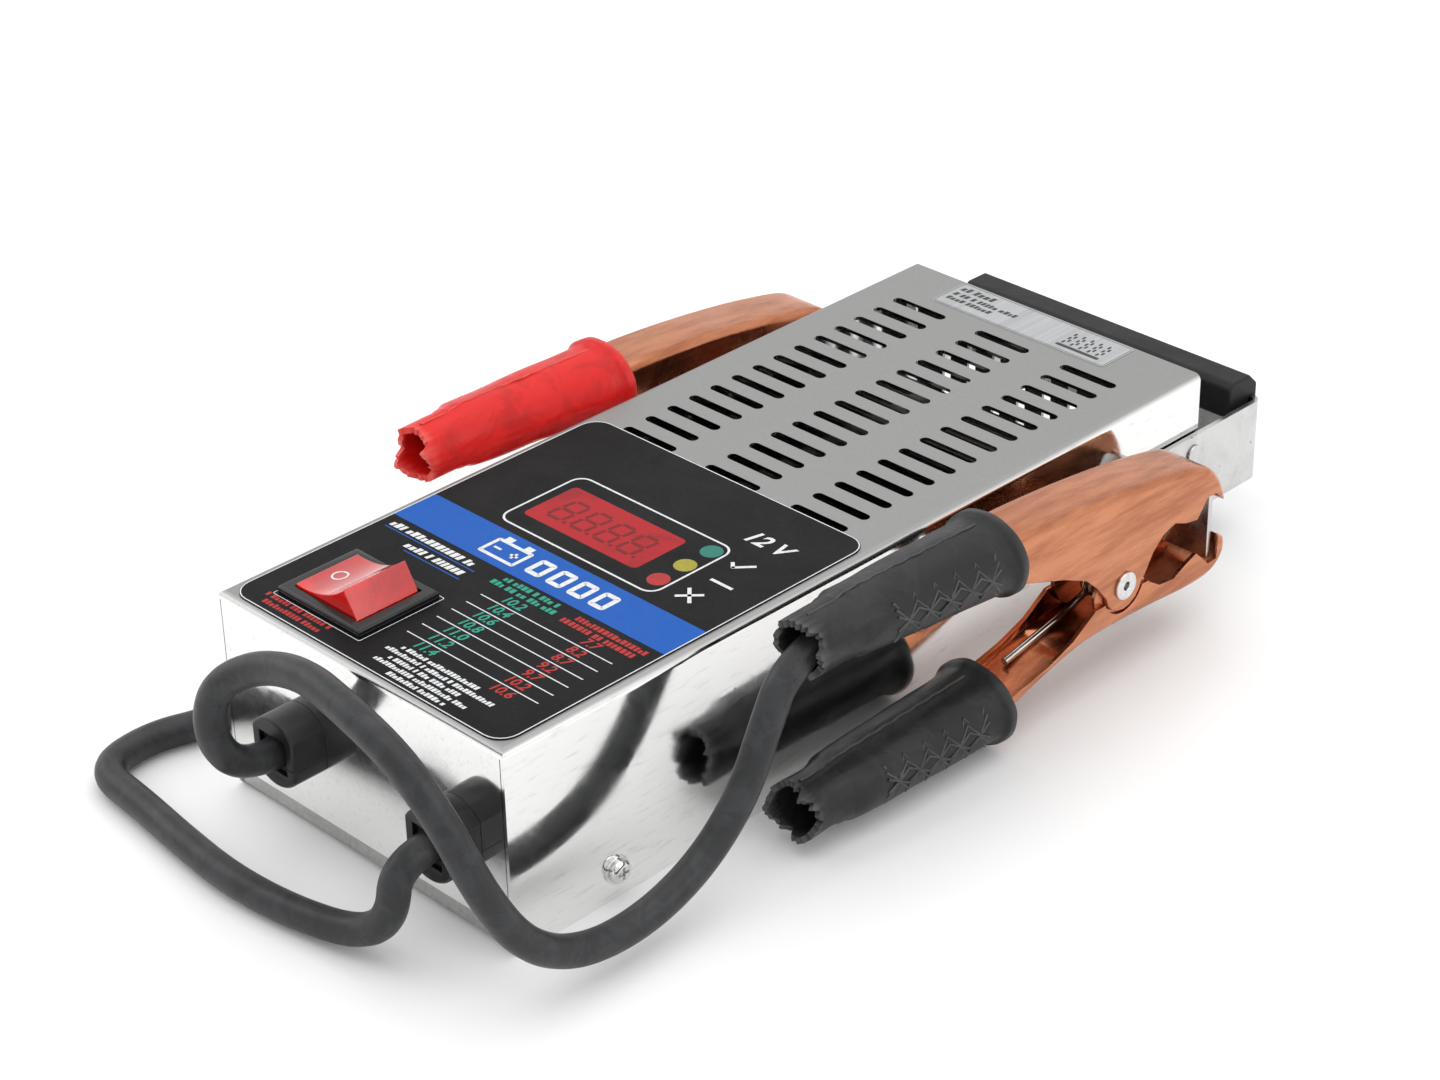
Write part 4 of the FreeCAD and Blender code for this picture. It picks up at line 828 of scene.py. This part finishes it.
@dataclass
class Sleeve:
    """A vinyl sleeve over one clamp handle, torn open at its narrow end."""

    node: str
    body: str
    finish: Finish
    slot: str
    collar_y: float
    collar_z: float
    neck_z: float
    seed: int
    raggedness: float = 2.2
    length: float = 69.0
    neck: float = 13.0
    shoulder: float = 3.0
    wall: float = 1.7
    ring: float = 3.2
    ring_out: float = 1.4
    half_collar: tuple[float, float] = (12.0, 10.0)
    half_shoulder: tuple[float, float] = (9.8, 8.9)
    half_neck: tuple[float, float] = (8.1, 7.9)
    segments: int = 96

    def __post_init__(self) -> None:
        """Finds the clamp's middle plane, and which side of the case it is on."""
        low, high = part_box(self.node)
        self.middle_x = (low[0] + high[0]) / 2.0
        self.side = math.copysign(1.0, self.middle_x)

    def section(self, reach: float) -> tuple[float, float, float]:
        """Gives the outer half width, half height and axis height along the sleeve.

        Args:
            reach: Distance from the narrow end in millimetres.

        Returns:
            Half width, half height and axis height in millimetres.
        """
        start = self.neck + self.shoulder
        if reach <= self.neck:
            return (*self.half_neck, self.neck_z)
        if reach <= start:
            share = (reach - self.neck) / self.shoulder
            pair = zip(self.half_neck, self.half_shoulder)
            width, height = (a + (b - a) * share for a, b in pair)
            return width, height, self.neck_z
        share = (reach - start) / (self.length - start)
        pair = zip(self.half_shoulder, self.half_collar)
        width, height = (a + (b - a) * share for a, b in pair)
        return width, height, self.neck_z + (self.collar_z - self.neck_z) * share

    def surface(self, reach: float, angle: float, out: float) -> Vector:
        """Gives a point on the sleeve's skin.

        Args:
            reach: Distance from the narrow end in millimetres.
            angle: Turn round the axis, from the outer side upwards.
            out: Distance outside the skin in millimetres.

        Returns:
            The point in the frame.
        """
        width, height, axis_z = self.section(reach)
        spot = place(0.0, self.collar_y - self.length + reach, axis_z)
        x = self.middle_x + self.side * (width + out) * math.cos(angle) * MM
        z = spot.z + (height + out) * math.sin(angle) * MM
        return Vector((x, spot.y, z))

    def profile(self) -> list[tuple[float, float]]:
        """Lists distance from the narrow end and distance outside the skin, out and back."""
        ring = self.length - self.ring
        outside = [(0.0, 0.0), (3.0, 0.0), (7.0, 0.0), (11.0, 0.05), (12.2, 0.45), (13.0, 0.45),
                   (14.2, 0.1), (16.0, 0.0)]
        outside += [(16.0 + 5.0 * step, 0.0) for step in range(1, 10)]
        outside += [(ring - 1.4, 0.1), (ring - 0.3, 0.7), (ring + 0.3, 1.25), (ring + 0.9, 1.4),
                    (self.length - 0.6, 1.4), (self.length, 0.9)]
        inside = [(self.length, -self.wall + 0.3), (self.length - 1.2, -self.wall)]
        inside += [(reach, -self.wall) for reach in (55.0, 40.0, 28.0, 16.0, 12.0, 7.0, 3.0, 0.0)]
        return outside + inside

    def tear(self, angle: float) -> float:
        """Gives how far the torn end reaches past its mean, in broad waves and fine nicks."""
        total = 0.0
        for scale, share in ((1.6, 1.5), (5.0, 0.8), (14.0, 0.35)):
            total += share * noise.noise(Vector((scale * math.cos(angle),
                                                 scale * math.sin(angle), self.seed * 1.7)))
        return total

    def build(self) -> list[bpy.types.Object]:
        """Makes the sleeve and its raised marks.

        Returns:
            The pieces.
        """
        mesh = bmesh.new()
        loop = bmesh.ops.create_circle(mesh, segments=self.segments, radius=MM)["verts"]
        stations = self.profile()
        rings = [loop]
        for _step in stations[1:]:
            latest = set(rings[-1])
            edges = {edge for vert in latest for edge in vert.link_edges
                     if edge.other_vert(vert) in latest}
            made = bmesh.ops.extrude_edge_only(mesh, edges=list(edges))
            rings.append([item for item in made["geom"] if isinstance(item, bmesh.types.BMVert)])
        for ring, (reach, out) in zip(rings, stations):
            for vert in ring:
                angle = math.atan2(vert.co.y, vert.co.x)
                tear = self.raggedness * self.tear(angle) * max(0.0, 1.0 - reach / 3.5)
                swell = noise.noise(Vector((2.0 * math.cos(angle), 2.0 * math.sin(angle),
                                            reach * 0.09 + self.seed))) * 0.45
                vert.co = self.surface(reach + tear, angle, out + swell)
        last = [edge for edge in mesh.edges if edge.is_boundary]
        bmesh.ops.bridge_loops(mesh, edges=last)
        bmesh.ops.recalc_face_normals(mesh, faces=mesh.faces)
        sleeve = new_piece(self.node + "_vinyl", mesh, self.finish, self.body, 50.0)
        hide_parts(self.node)
        return [sleeve, self.marks()]

    def marks(self) -> bpy.types.Object:
        """Makes the raised seams and nested zigzags as one piece."""
        lines: list[list[Vector]] = []
        for seam in (0.5 * math.pi, -0.5 * math.pi):
            lines.append([self.surface(reach, seam + 0.02 * math.sin(reach), 0.0)
                          for reach in range(3, 66, 3)])
        for offset in (0.0, 0.2, 0.4):
            for mirror in (-1.0, 1.0):
                line = []
                for step in range(11):
                    share = abs(step % 4 - 2.0) - 1.0
                    peak = mirror * (0.62 - offset) * share
                    line.append(self.surface(24.0 + step * 3.6, peak + 0.05, 0.10))
                lines.append(line)
        curve = bpy.data.curves.new(self.node + "_marks", "CURVE")
        curve.dimensions = "3D"
        curve.bevel_depth = 0.36 * MM
        curve.bevel_resolution = 1
        for line in lines:
            spline = curve.splines.new("POLY")
            spline.points.add(len(line) - 1)
            for point, spot in zip(spline.points, line):
                point.co = (*spot, 1.0)
        maker = bpy.data.objects.new(curve.name, curve)
        bpy.context.scene.collection.objects.link(maker)
        bpy.context.view_layer.update()
        data = bpy.data.meshes.new_from_object(maker)
        mesh = bmesh.new()
        mesh.from_mesh(data)
        bpy.data.objects.remove(maker)
        bpy.data.curves.remove(curve)
        bpy.data.meshes.remove(data)
        return new_piece(self.node + "_raised_marks", mesh, self.finish, self.body, 80.0)


@dataclass
class ClampSpring:
    """The torsion spring of one clamp: its coil and two legs."""

    name: str
    coil_body: str
    leg_body: str
    pin_z: float = 29.1
    radius: float = 5.2
    wire: float = 2.2
    turns: int = 3
    foot: tuple[float, float] = (157.0, 16.5)

    def build(self) -> list[bpy.types.Object]:
        """Winds the coil and dresses the second leg.

        Returns:
            The coil's piece.
        """
        low, high = (Vector(corner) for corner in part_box(self.name + "_clamp_rivet"))
        pin = (low + high) / 2.0
        pitch = (self.wire + 0.15) * MM
        first = pin.x - self.turns * pitch / 2.0 + pitch / 2.0
        foot = place(0.0, *self.foot)
        curve = bpy.data.curves.new(self.name + "_spring_wire", "CURVE")
        curve.dimensions = "3D"
        curve.bevel_depth = self.wire / 2.0 * MM
        curve.bevel_resolution = 6
        curve.use_fill_caps = True
        points = [Vector((first, foot.y, foot.z)), Vector((first, pin.y - 12.0 * MM, pin.z - 8.6 * MM))]
        steps = 20 * self.turns
        for step in range(steps + 1):
            angle = -math.pi / 2.0 + math.tau * step / 20.0
            points.append(Vector((first + pitch * step / 20.0,
                                  pin.y + self.radius * MM * math.cos(angle),
                                  pin.z + self.radius * MM * math.sin(angle))))
        spline = curve.splines.new("POLY")
        spline.points.add(len(points) - 1)
        for point, spot in zip(spline.points, points):
            point.co = (*spot, 1.0)
        maker = bpy.data.objects.new(curve.name, curve)
        bpy.context.scene.collection.objects.link(maker)
        bpy.context.view_layer.update()
        data = bpy.data.meshes.new_from_object(maker)
        mesh = bmesh.new()
        mesh.from_mesh(data)
        bpy.data.objects.remove(maker)
        bpy.data.curves.remove(curve)
        bpy.data.meshes.remove(data)
        coil = new_piece(self.name + "_coil", mesh, SPRING, self.coil_body, 60.0)
        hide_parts(self.name + "_clamp_spring")
        dress(self.name + "_spring_leg", SPRING)
        return [coil]


@dataclass
class Clamp:
    """One cable clamp: two copper-plated halves, rivet, spring and two sleeves."""

    name: str
    upper_body: str
    lower_body: str
    vinyl: Finish
    seed: int

    def build(self) -> list[bpy.types.Object]:
        """Makes the clamp's pieces.

        Returns:
            Every piece and CAD node of the clamp that can be seen.
        """
        slot = self.name + "_sleeve"
        pieces = [
            eased(self.name + "_clamp_upper", COPPER, self.upper_body, 0.3),
            eased(self.name + "_clamp_lower", COPPER, self.lower_body, 0.3),
            eased(self.name + "_clamp_rivet", BRIGHT, "tester", 0.25, 3)]
        coil_body = self.lower_body
        leg_body = self.upper_body
        pieces += ClampSpring(self.name, coil_body, leg_body).build()
        pieces.append(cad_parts[self.name + "_spring_leg"])
        upper = Sleeve(self.name + "_sleeve_upper", self.upper_body, self.vinyl, slot,
                       147.5, 54.6, 57.4, self.seed)
        lower = Sleeve(self.name + "_sleeve_lower", self.lower_body, self.vinyl, slot,
                       144.5, 11.9, 11.6, self.seed + 1)
        return pieces + upper.build() + lower.build()


@dataclass
class Cable:
    """A soft sheathed cable from its gland to its clamp."""

    name: str
    route: Sequence[Point]
    length: float
    diameter: float = 8.2

    def build(self, clamp: Sequence[bpy.types.Object]) -> bpy.types.Object:
        """Lays the cable along its route.

        Args:
            clamp: The pieces of the clamp on its end; not used.

        Returns:
            The cable's curve.
        """
        curve = bpy.data.curves.new(self.name + "_sheath", "CURVE")
        curve.dimensions = "3D"
        curve.bevel_depth = self.diameter / 2.0 * MM
        curve.bevel_resolution = 8
        curve.use_fill_caps = True
        curve.resolution_u = 16
        spline = curve.splines.new("NURBS")
        spline.points.add(len(self.route) - 1)
        for point, spot in zip(spline.points, self.route):
            point.co = (*place(*spot), 1.0)
        spline.order_u = 3
        spline.use_endpoint_u = True
        piece = bpy.data.objects.new(self.name + "_sheath", curve)
        bpy.context.scene.collection.objects.link(piece)
        curve.materials.append(SHEATH.build())
        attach(piece, "tester")
        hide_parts(self.name)
        LOG.info("%s: laid", self.name)
        return piece


BLACK_ROUTE: tuple[Point, ...] = (
    (-21.7, -8.5, 28.5), (-21.7, -19.0, 28.5), (-22.5, -27.0, 39.5),
    (-21.0, -26.5, 54.5), (-12.0, -20.5, 62.5), (7.0, -20.0, 69.0),
    (28.0, -24.0, 70.0), (47.0, -25.0, 65.5), (60.0, -24.0, 53.5),
    (67.5, -21.0, 37.0), (71.5, -13.0, 20.5), (72.5, 2.0, 10.5),
    (72.5, 22.0, 8.5), (72.0, 42.0, 14.0), (72.0, 57.0, 27.0),
    (71.3, 65.5, 42.0), (70.5, 73.6, 54.8), (70.0, 90.0, 57.4))
RED_ROUTE: tuple[Point, ...] = (
    (35.3, -8.5, 28.5), (35.3, -19.5, 28.5), (35.0, -21.5, 14.0),
    (25.0, -24.0, 6.0), (5.0, -28.0, 4.4), (-16.0, -30.0, 4.5),
    (-38.0, -28.0, 4.4), (-58.0, -25.5, 4.5), (-78.0, -24.0, 4.4),
    (-81.0, -6.0, 4.4), (-75.0, 9.0, 4.5), (-72.0, 28.0, 5.5),
    (-70.5, 50.0, 9.0), (-70.0, 70.0, 11.6), (-70.0, 90.0, 11.6))


@dataclass
class Case:
    """The cover, the tray, the handle and everything fastened to them."""

    eased_nodes: tuple[tuple[str, Finish, str, float], ...] = (
        ("handle_strap", STRAP, "plated_strip", 0.3),
        ("handle_grip", GRIP, "black_rubber", 0.6),
        ("strap_rivets", STRAP, "bright_fastener", 0.25),
        ("case_screws", BRIGHT, "bright_fastener", 0.15),
        ("screw_washers", BRIGHT, "bright_fastener", 0.12),
        ("black_gland_upper", GLAND, "black_matte", 0.35),
        ("black_gland_lower", GLAND, "black_matte", 0.35),
        ("red_gland_upper", GLAND, "black_matte", 0.35),
        ("red_gland_lower", GLAND, "black_matte", 0.35))
    inner_nodes: tuple[tuple[str, Finish], ...] = (
        ("base_tray", TRAY), ("circuit_board", BOARD), ("board_studs", BRIGHT),
        ("board_nuts", BRIGHT), ("display_module", MODULE), ("status_leds", MODULE),
        ("board_components", CHIP), ("load_ribbon", RIBBON), ("insulator_rail_left", CERAMIC),
        ("insulator_rail_right", CERAMIC), ("bus_bar_line", BRASS), ("bus_bar_load", BRASS),
        ("black_inner_lead", SHEATH), ("red_inner_lead", SHEATH))

    def build(self) -> None:
        """Dresses the case."""
        dress("cover", COVER)
        for node, finish, slot, width in self.eased_nodes:
            eased(node, finish, "tester", width)
        for node, finish in self.inner_nodes:
            dress(node, finish)


@dataclass
class Studio:
    """Pale floor, soft light and the camera."""

    floor_size: float = 12.0
    camera_place: Point = (0.5334, -0.5384, 0.4739)
    right: Point = (0.70788, 0.70609, -0.01856)
    up: Point = (-0.3427, 0.3663, 0.8651)
    lens: float = 82.99

    def build(self) -> None:
        """Sets up everything round the object."""
        self.camera()
        self.floor()
        self.world()
        self.softbox("softbox_top", (0.0, 0.1, 1.5), (0.0, 0.0, 0.0), 1.8, 9.0)
        self.softbox("softbox_left", (-1.3, -0.5, 0.9), (0.0, 0.0, 0.03), 1.0, 4.0)
        self.softbox("softbox_right", (1.3, 0.3, 0.8), (0.0, 0.0, 0.03), 0.9, 3.0)

    def camera(self) -> None:
        """Places the camera."""
        data = bpy.data.cameras.new("view")
        data.lens = self.lens
        data.sensor_width = 36.0
        data.clip_start = 0.01
        camera = bpy.data.objects.new("view", data)
        bpy.context.scene.collection.objects.link(camera)
        right = Vector(self.right).normalized()
        up = Vector(self.up)
        up = (up - right * up.dot(right)).normalized()
        turn = Matrix((right, up, right.cross(up))).transposed().to_4x4()
        camera.matrix_world = Matrix.Translation(self.camera_place) @ turn
        bpy.context.scene.camera = camera

    def floor(self) -> None:
        """Lays the pale floor."""
        mesh = bmesh.new()
        bmesh.ops.create_grid(mesh, x_segments=1, y_segments=1, size=self.floor_size / 2.0)
        data = bpy.data.meshes.new("floor")
        mesh.to_mesh(data)
        mesh.free()
        floor = bpy.data.objects.new("floor", data)
        bpy.context.scene.collection.objects.link(floor)
        data.materials.append(Finish("pale_floor", (0.88, 0.88, 0.88), 0.6,
                                     second_colour=(0.875, 0.875, 0.875)).build())

    def world(self) -> None:
        """Fills the surroundings with even white light."""
        world = bpy.data.worlds.new("studio")
        world.use_nodes = True
        back = world.node_tree.nodes["Background"]
        back.inputs["Color"].default_value = (1.0, 1.0, 1.0, 1.0)
        back.inputs["Strength"].default_value = 1.0
        bpy.context.scene.world = world
        bpy.context.scene.view_settings.view_transform = "Standard"

    def softbox(self, name: str, where: Point, aim: Point, size: float, power: float) -> None:
        """Hangs a square soft light.

        Args:
            name: The light's name.
            where: Its place in metres.
            aim: The point it faces.
            size: Its side in metres.
            power: Its power in watts.
        """
        data = bpy.data.lights.new(name, "AREA")
        data.size = size
        data.energy = power
        lamp = bpy.data.objects.new(name, data)
        bpy.context.scene.collection.objects.link(lamp)
        facing = Vector(aim) - Vector(where)
        lamp.matrix_world = (Matrix.Translation(where)
                             @ facing.to_track_quat("-Z", "Y").to_matrix().to_4x4())


def main() -> None:
    """Builds the studio, the cables with their clamps, and the case."""
    logging.basicConfig(level=logging.INFO, format="%(name)s %(message)s")
    for build in (build_grain, build_streaks, build_smudges, build_wear_and_highlight, build_specks):
        build()
    Studio().build()
    black = Clamp("black", "tester", "black_lower_jaw", VINYL_BLACK, 4).build()
    red = Clamp("red", "red_upper_jaw", "tester", VINYL_RED, 9).build()
    Cable("black_cable", BLACK_ROUTE, 0.290).build(black)
    Cable("red_cable", RED_ROUTE, 0.253).build(red)
    Case().build()
    Switch().build()
    FrontLabel().build()
    DisplayWindow().build()
    Sticker().build()


if __name__ == "__main__":
    main()
